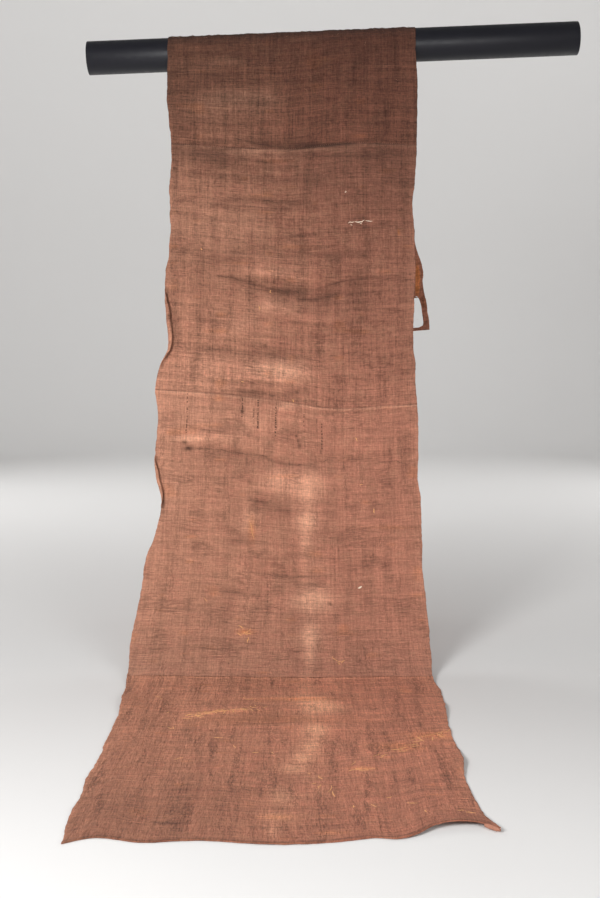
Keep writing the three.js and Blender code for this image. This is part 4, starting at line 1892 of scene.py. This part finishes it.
@dataclass
class SeamStitches:
    """Overcast stitches that join two panels, made along the seam by Geometry Nodes."""

    spacing: float = 0.0062
    length: float = 0.0085
    radius: float = 0.00042
    slant: float = 0.45
    uneven: float = 0.3
    seed: int = 5
    margin: float = 3.0
    steps: int = 240
    lift: float = 1.0

    def sizes(self) -> dict[str, float]:
        """The tree's named inputs."""
        return {"Spacing": self.spacing, "Length": self.length, "Radius": self.radius, "Slant": self.slant}

    def tree(self, material: bpy.types.Material) -> bpy.types.NodeTree:
        """The node tree: a seam line goes in, and stitches laid across it come out.

        Args:
            material: The copies' finish.

        Returns:
            The node tree.
        """
        inputs = {"Geometry": GEOMETRY, **self.sizes()}
        tree, kit, given, result = new_tree(
            "GeometryNodeTree", "overcast_stitches", inputs, {"Geometry": GEOMETRY}
        )
        curve = kit.add("GeometryNodeMeshToCurve", {"Mesh": given["Geometry"]}).outputs["Curve"]
        spaced = {"Curve": curve, "Length": given["Spacing"]}
        points = kit.add("GeometryNodeCurveToPoints", spaced, mode="LENGTH")
        facing = kit.add("GeometryNodeInputNamedAttribute", data_type="FLOAT_VECTOR")
        facing.inputs["Name"].default_value = "facing"
        axes = {"Primary Axis": facing.outputs["Attribute"], "Secondary Axis": points.outputs["Tangent"]}
        turn = kit.add("FunctionNodeAxesToRotation", axes, primary_axis="Z", secondary_axis="X")
        ball = kit.add("GeometryNodeMeshUVSphere", {"Segments": 6, "Rings": 5, "Radius": 1.0})
        scale = kit.vector(given["Radius"], kit.times(given["Length"], 0.5), given["Radius"])
        stitch = kit.add("GeometryNodeTransform", {"Geometry": ball.outputs["Mesh"], "Scale": scale})
        copies = {
            "Points": points.outputs["Points"],
            "Instance": stitch.outputs["Geometry"],
            "Rotation": turn.outputs["Rotation"],
        }
        lean = kit.plus(kit.chance(-self.uneven, self.uneven, self.seed), given["Slant"])
        lay_copies(kit, copies, lean, material, result["Geometry"])
        return tree

    def build(
        self,
        name: str,
        seam: tuple[SeamPoint, ...],
        surface: ClothSurface,
        tree: bpy.types.NodeTree,
        material: bpy.types.Material,
    ) -> bpy.types.Object:
        """Lays stitches along one seam.

        Args:
            name: The piece's name.
            seam: The seam's points.
            surface: The cloth's surface.
            tree: The stitches' node tree.
            material: The thread's finish.

        Returns:
            The stitches as a plain mesh.
        """
        across = np.linspace(seam[0].across + self.margin, seam[-1].across - self.margin, self.steps)
        along = seam_at(seam, across)
        left, right = surface.edges(along)
        share = np.clip((across - left) / (right - left), 0, 1)
        points = surface.on_cloth(across, along, self.lift)
        line = bpy.data.meshes.new("seam_line")
        line.from_pydata(points.tolist(), [(i, i + 1) for i in range(self.steps - 1)], [])
        layer = line.attributes.new("facing", "FLOAT_VECTOR", "POINT")
        layer.data.foreach_set("vector", surface.normals(share, along).astype(np.float32).ravel())
        return grown_piece(line, tree, self.sizes(), name, material)


@dataclass
class LooseFibres:
    """Broken raffia ends that stand off the cloth, scattered over it by Geometry Nodes."""

    count_per_area: float = 420.0
    length: float = 0.009
    thickness: float = 0.00022
    shortest: float = 0.45
    longest: float = 1.3
    seed: int = 9
    columns: int = 90
    rows: int = 400
    margin: float = 0.003
    back_margin: float = 8.0
    front_margin: float = 60.0
    lift: float = 0.3
    fray: float = 0.35
    edge_fray: float = 6.0
    edge_reach: float = 5.0
    crest_fray: float = 5.0
    crest_at: float = -76.0
    crest_reach: float = 40.0

    def sizes(self) -> dict[str, float]:
        """The tree's named inputs."""
        return {"Density": self.count_per_area, "Length": self.length, "Thickness": self.thickness}

    def tree(self, material: bpy.types.Material) -> bpy.types.NodeTree:
        """The node tree: a surface with a fray mask goes in, and bent fibres come out.

        Args:
            material: The copies' finish.

        Returns:
            The node tree.
        """
        inputs = {"Geometry": GEOMETRY, **self.sizes()}
        tree, kit, given, result = new_tree(
            "GeometryNodeTree", "loose_fibres", inputs, {"Geometry": GEOMETRY}
        )
        fray = kit.add("GeometryNodeInputNamedAttribute", data_type="FLOAT")
        fray.inputs["Name"].default_value = "fray"
        density = kit.times(given["Density"], fray.outputs["Attribute"])
        scatter = kit.add(
            "GeometryNodeDistributePointsOnFaces",
            {"Mesh": given["Geometry"], "Density": density, "Seed": self.seed},
            distribute_method="RANDOM",
        )
        bend = {
            "Resolution": 4,
            "Start": (0.0, 0.0, -0.04),
            "Start Handle": (0.15, 0.0, 0.22),
            "End Handle": (0.65, 0.1, 0.3),
            "End": (1.0, 0.25, 0.12),
        }
        strand = kit.add("GeometryNodeCurvePrimitiveBezierSegment", bend).outputs["Curve"]
        radius = kit.math("DIVIDE", given["Thickness"], given["Length"])
        ring = kit.add("GeometryNodeCurvePrimitiveCircle", {"Resolution": 3, "Radius": radius})
        sweep = {"Curve": strand, "Profile Curve": ring.outputs["Curve"], "Fill Caps": True}
        tube = kit.add("GeometryNodeCurveToMesh", sweep).outputs["Mesh"]
        size = kit.chance(self.shortest, self.longest, self.seed + 1)
        copies = {
            "Points": scatter.outputs["Points"],
            "Instance": tube,
            "Rotation": scatter.outputs["Rotation"],
            "Scale": kit.times(size, given["Length"]),
        }
        lay_copies(kit, copies, kit.chance(0.0, 2 * math.pi, self.seed + 2), material, result["Geometry"])
        return tree

    def build(self, surface: ClothSurface, material: bpy.types.Material) -> bpy.types.Object:
        """Scatters the fibres over the whole cloth.

        Args:
            surface: The cloth's surface.
            material: The fibres' finish.

        Returns:
            The fibres as one plain mesh.
        """
        start, end = BACK_HEM[0].along + self.back_margin, FRONT_HEM[0].along - self.front_margin
        shares = np.linspace(self.margin, 1 - self.margin, self.columns)
        share, along = np.meshgrid(shares, np.linspace(start, end, self.rows))
        across, left, right = surface.places(share, along)
        points = (surface.points(share, along) + surface.normals(share, along) * self.lift) * MM
        edge = np.minimum(across - left, right - across)
        fray = self.fray + self.edge_fray * np.exp(-edge / self.edge_reach)
        fray = fray + self.crest_fray * ridge(along - self.crest_at, self.crest_reach)
        r, c = np.meshgrid(np.arange(self.rows - 1), np.arange(self.columns - 1), indexing="ij")
        here = (r * self.columns + c).ravel()
        faces = np.stack([here, here + self.columns, here + self.columns + 1, here + 1], axis=1)
        ground = bpy.data.meshes.new("fibre_ground")
        ground.from_pydata(points.reshape(-1, 3).tolist(), [], faces.tolist())
        layer = ground.attributes.new("fray", "FLOAT", "POINT")
        layer.data.foreach_set("value", fray.astype(np.float32).ravel())
        return grown_piece(ground, self.tree(material), self.sizes(), "loose_fibres", material)


@dataclass
class LaidStrands:
    """Flat strands of raffia that lie on the cloth where they have worked out of the weave."""

    height: float = 0.5
    lift: float = 0.35
    steps: int = 14
    sway: float = 3.0
    scatter_width: float = 2.6

    def scattered(self, runs: tuple[StrandRun, ...]) -> tuple[Strand, ...]:
        """The short strands of each run, strewn along it at random angles.

        Args:
            runs: The runs.

        Returns:
            The strands.
        """
        chance = np.random.default_rng(int(Seed.STRANDS))
        strands = []
        for run in runs:
            lean = math.atan2(run.to_along - run.along, run.to_across - run.across)
            for number in range(run.count):
                t = (number + chance.uniform(0, 1)) / run.count
                u = run.across + (run.to_across - run.across) * t + chance.normal(0, run.stray * 0.5)
                v = run.along + (run.to_along - run.along) * t + chance.normal(0, run.stray * 0.5)
                turn = lean + chance.normal(0, 0.7)
                reach = run.length * chance.uniform(0.5, 1.2)
                to = (u + reach * math.cos(turn), v + reach * math.sin(turn))
                strands.append(Strand(u, v, *to, self.scatter_width * chance.uniform(0.7, 1.3)))
        return tuple(strands)

    def ribbon(self, number: int, strand: Strand, surface: ClothSurface) -> list[list[float]]:
        """The points of one ribbon: its left edge, its raised middle and its right edge.

        Args:
            number: The strand's place in its list, which picks how it sways.
            strand: Where the strand lies.
            surface: The cloth's surface.

        Returns:
            The points, in metres.
        """
        t = np.linspace(0, 1, self.steps)
        across = strand.across + (strand.to_across - strand.across) * t
        along = strand.along + (strand.to_along - strand.along) * t
        run = np.array([strand.to_across - strand.across, strand.to_along - strand.along])
        side = np.array([-run[1], run[0]]) / np.hypot(*run)
        bow = self.sway * line_noise(t * 3 + number, 1, number + 0.5, Seed.STRAND_BOW)
        width = strand.width * (0.35 + 0.65 * np.sin(np.pi * np.clip(t, 0.04, 0.96)))
        points = []
        for shift, lift in ((-0.5, self.lift), (0.0, self.lift + self.height), (0.5, self.lift)):
            off = bow + shift * width
            points.extend(surface.on_cloth(across + side[0] * off, along + side[1] * off, lift).tolist())
        return points

    def build(
        self, name: str, strands: tuple[Strand, ...], surface: ClothSurface, material: bpy.types.Material
    ) -> bpy.types.Object:
        """Makes the strands as one mesh of thin closed ribbons.

        Args:
            name: The piece's name.
            strands: Where each strand lies.
            surface: The cloth's surface.
            material: The strands' finish.

        Returns:
            The strands' object.
        """
        points, faces = [], []
        for number, strand in enumerate(strands):
            first, second, third = (len(points) + line * self.steps for line in range(3))
            points.extend(self.ribbon(number, strand, surface))
            for i in range(self.steps - 1):
                for p, q in ((first + i, second + i), (second + i, third + i), (third + i, first + i)):
                    faces.append((p, p + 1, q + 1, q))
            last = self.steps - 1
            faces.append((first, second, third))
            faces.append((third + last, second + last, first + last))
        mesh = bpy.data.meshes.new(name)
        mesh.from_pydata(points, [], faces)
        piece = link_mesh(mesh, name, material)
        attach(piece, "root")
        LOG.info("%s: %d strands", name, len(strands))
        return piece


@dataclass
class HemEnd:
    """The blunt end of the rolled hem, which stands a little past the cloth's right front corner."""

    start: tuple[float, float] = (354.0, 2936.0)
    end: tuple[float, float] = (377.0, 2960.0)
    radius: float = 4.6
    fullness: float = 0.92
    rings: int = 9
    sides: int = 14
    lumps: float = 0.5
    floor_gap: float = 0.3

    def build(self, surface: ClothSurface, material: bpy.types.Material) -> bpy.types.Object:
        """Makes the hem's end as a closed lumpy roll that lies on the floor.

        Args:
            surface: The cloth's surface.
            material: The roll's finish.

        Returns:
            The roll's object.
        """
        floor_y = surface.line.at(np.array([self.start[1], self.end[1]]))[0]
        start = Vector((surface.middle_x + self.start[0], floor_y[0], self.radius))
        end = Vector((surface.middle_x + self.end[0], floor_y[1], self.radius))
        run = (end - start).normalized()
        side, up = Vector((-run.y, run.x, 0)), Vector((0, 0, 1))
        rings = []
        for number in range(self.rings):
            t = number / (self.rings - 1)
            swell = self.fullness * math.sin(math.pi * (0.2 + 0.72 * t)) ** 0.35
            ring = []
            for corner in range(self.sides):
                turn = 2 * math.pi * corner / self.sides
                bump = smooth_noise(np.array([number * 0.7]), np.array([corner * 0.8]), Seed.HEM_LUMPS)
                radius = self.radius * swell + self.lumps * float(bump[0])
                place = start + (end - start) * t + (side * math.cos(turn) + up * math.sin(turn)) * radius
                place.z = max(place.z, self.floor_gap)
                ring.append(place * MM)
            rings.append(ring)
        piece = link_mesh(ring_solid("hem_end", rings), "rolled_hem_end", material)
        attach(piece, "root")
        LOG.info("rolled_hem_end: %d faces", len(piece.data.polygons))
        return piece


@dataclass(frozen=True)
class SoftLight:
    """A square soft light: where it stands, what it faces, how wide it is and its power in watts."""

    name: str
    place: tuple[float, float, float]
    target: tuple[float, float, float]
    width: float
    power: float

    def build(self) -> None:
        """Makes the light, unseen by the camera."""
        data = bpy.data.lights.new(self.name, "AREA")
        data.shape = "SQUARE"
        data.size = self.width
        data.energy = self.power
        lamp = bpy.data.objects.new(self.name, data)
        lamp.location = self.place
        facing = Vector(self.target) - Vector(self.place)
        lamp.rotation_euler = facing.to_track_quat("-Z", "Y").to_euler()
        lamp.visible_camera = False
        bpy.context.scene.collection.objects.link(lamp)


LIGHTS = (
    SoftLight("key", (-1.9, -2.7, 1.6), (-0.1, 0.4, 0.75), 1.1, 118),
    SoftLight("fill", (2.1, -3.0, 1.6), (-0.1, 0.3, 0.7), 1.8, 50),
    SoftLight("back_left", (-3.0, 3.6, 2.2), (-0.1, 0.95, 1.2), 1.6, 55),
    SoftLight("back_right", (3.2, 3.8, 1.6), (-0.1, 0.95, 1.1), 1.6, 40),
    SoftLight("far_wall", (0.0, 2.4, 5.4), (0.0, 7.5, 3.2), 4.0, 150),
    SoftLight("near_wall", (0.0, -2.6, 5.4), (0.0, -7.5, 3.2), 4.0, 90),
)


@dataclass
class Studio:
    """The pale stage, the soft lights and the camera."""

    camera_place: tuple[float, float, float] = (-0.100, -3.026, 0.880)
    camera_pitch: float = 5.45
    lens: float = 50.0
    sensor: float = 36.0
    sky: tuple[float, float, float, float] = (1.0, 0.99, 0.98, 1.0)
    sky_strength: float = 0.2
    floor_drop: float = 0.0006
    bowl_radius: float = 7.5
    inner_ring: float = 0.4
    sweep: float = 1.6
    sweep_steps: int = 16
    wall_height: float = 6.0
    bowl_sides: int = 96

    def build(self, material: bpy.types.Material) -> None:
        """Makes the stage, the lights and the camera.

        Args:
            material: The stage's finish.
        """
        self.make_stage(material)
        for light in LIGHTS:
            light.build()
        world = bpy.data.worlds.new("studio")
        world.use_nodes = True
        background = world.node_tree.nodes["Background"]
        background.inputs["Color"].default_value = self.sky
        background.inputs["Strength"].default_value = self.sky_strength
        bpy.context.scene.world = world
        bpy.context.scene.view_settings.view_transform = "Standard"
        self.make_camera()

    def make_stage(self, material: bpy.types.Material) -> None:
        """A pale round floor that sweeps up into a plain wall all round.

        Args:
            material: The stage's finish.
        """
        floor = -self.floor_drop
        profile = [(self.bowl_radius * self.inner_ring, floor)]
        for i in range(self.sweep_steps + 1):
            turn = math.pi / 2 * i / self.sweep_steps
            reach = self.bowl_radius - self.sweep + self.sweep * math.sin(turn)
            profile.append((reach, floor + self.sweep - self.sweep * math.cos(turn)))
        profile.append((self.bowl_radius, self.wall_height))
        points, faces = [(0.0, 0.0, floor)], []
        for radius, z in profile:
            for side in range(self.bowl_sides):
                turn = 2 * math.pi * side / self.bowl_sides
                points.append((radius * math.cos(turn), radius * math.sin(turn), z))
        for side in range(self.bowl_sides):
            after = (side + 1) % self.bowl_sides
            faces.append((0, 1 + side, 1 + after))
            for ring in range(len(profile) - 1):
                a, b = 1 + ring * self.bowl_sides, 1 + (ring + 1) * self.bowl_sides
                faces.append((a + side, b + side, b + after, a + after))
        mesh = bpy.data.meshes.new("stage")
        mesh.from_pydata(points, [], faces)
        smooth_quads(mesh)
        link_mesh(mesh, "stage", material)

    def make_camera(self) -> None:
        """The camera, with no shift and no depth of field."""
        data = bpy.data.cameras.new("camera")
        data.lens = self.lens
        data.sensor_width = self.sensor
        data.dof.use_dof = False
        camera = bpy.data.objects.new("camera", data)
        camera.location = self.camera_place
        camera.rotation_euler = (math.radians(90 - self.camera_pitch), 0, 0)
        bpy.context.scene.collection.objects.link(camera)
        bpy.context.scene.camera = camera


PANELS = (
    Panel("back_cloth", "back_panel", "raffia_dark", BACK_HEM, BACK_SEAM, Finish.TOP, held="hung", torn=True),
    Panel(
        "top_cloth",
        "top_panel",
        "raffia_dark",
        BACK_SEAM,
        ROD_SEAM,
        Finish.TOP,
        rests_on=("round_rod",),
        seam_shadow_and_dirt=0.8,
    ),
    Panel(
        "upper_cloth",
        "upper_front_panel",
        "raffia",
        ROD_SEAM,
        MIDDLE_SEAM,
        Finish.UPPER,
        held="hung",
        lip_highlight=0.45,
        seam_shadow_and_dirt=0.2,
    ),
    Panel(
        "middle_cloth",
        "middle_front_panel",
        "raffia",
        MIDDLE_SEAM,
        FLOOR_SEAM,
        Finish.FRONT,
        lip_highlight=0.6,
    ),
    Panel(
        "floor_cloth",
        "floor_panel",
        "raffia_coarse",
        FLOOR_SEAM,
        FRONT_HEM,
        Finish.FLOOR,
        held="laid",
        hemmed=True,
        lip_highlight=0.2,
    ),
)
SEAMS = {
    "back_seam_stitches": BACK_SEAM,
    "rod_seam_stitches": ROD_SEAM,
    "middle_seam_stitches": MIDDLE_SEAM,
    "floor_seam_stitches": FLOOR_SEAM,
}
STAGE = PlainFinish("pale_stage", (0.72, 0.712, 0.704), 0.9, 0.01, 3.0, 0.2)
ROD_BLACK = PlainFinish("rod_black", (0.01, 0.01, 0.014), 0.4, 0.2, 60.0, 0.3)
THREAD = PlainFinish("sewing_raffia", (0.34, 0.16, 0.105), 0.85, 0.4, 400.0, 0.2)
UNDYED = PlainFinish("undyed_raffia", (0.72, 0.36, 0.15), 0.7, 0.3, 300.0, 0.3)
BARE = PlainFinish("bare_raffia", (0.8, 0.66, 0.52), 0.8, 0.15, 500.0, 0.2)
ROLLED = PlainFinish("rolled_raffia", (0.35, 0.16, 0.108), 0.85, 0.4, 300.0, 0.15)
FIBRE = PlainFinish("fibre_ends", (0.4, 0.2, 0.13), 0.85, 0.4, 90.0, 0.2)


def main() -> None:
    """Builds the object and the studio, in order, and logs the size of the rod, the hem end and each grown or
    strand piece.
    """
    logging.basicConfig(level=logging.INFO, format="%(name)s: %(message)s")
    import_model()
    surface = ClothSurface(SideLine())
    Studio().build(STAGE.material())

    groups = {
        "weave": weave_group(),
        "broken": thread_break_group(),
        "slit": slit_group(),
        "crease": crease_group(),
    }
    raffia = {finish: finish.value.material(groups) for finish in Finish}
    Rod().build(surface.line, surface.middle_x, ROD_BLACK.material())
    for panel in PANELS:
        panel.build(surface, raffia[panel.finish])
    stitches, thread = SeamStitches(), THREAD.material()
    tree = stitches.tree(thread)
    for name, seam in SEAMS.items():
        stitches.build(name, seam, surface, tree, thread)
    HemEnd().build(surface, ROLLED.material())
    LooseFibres().build(surface, FIBRE.material())
    strands = LaidStrands()
    strands.build("undyed_strands", STRANDS + strands.scattered(STRAND_RUNS), surface, UNDYED.material())
    strands.build("pale_scratch", SCRATCH, surface, BARE.material())


if __name__ == "__main__":
    main()
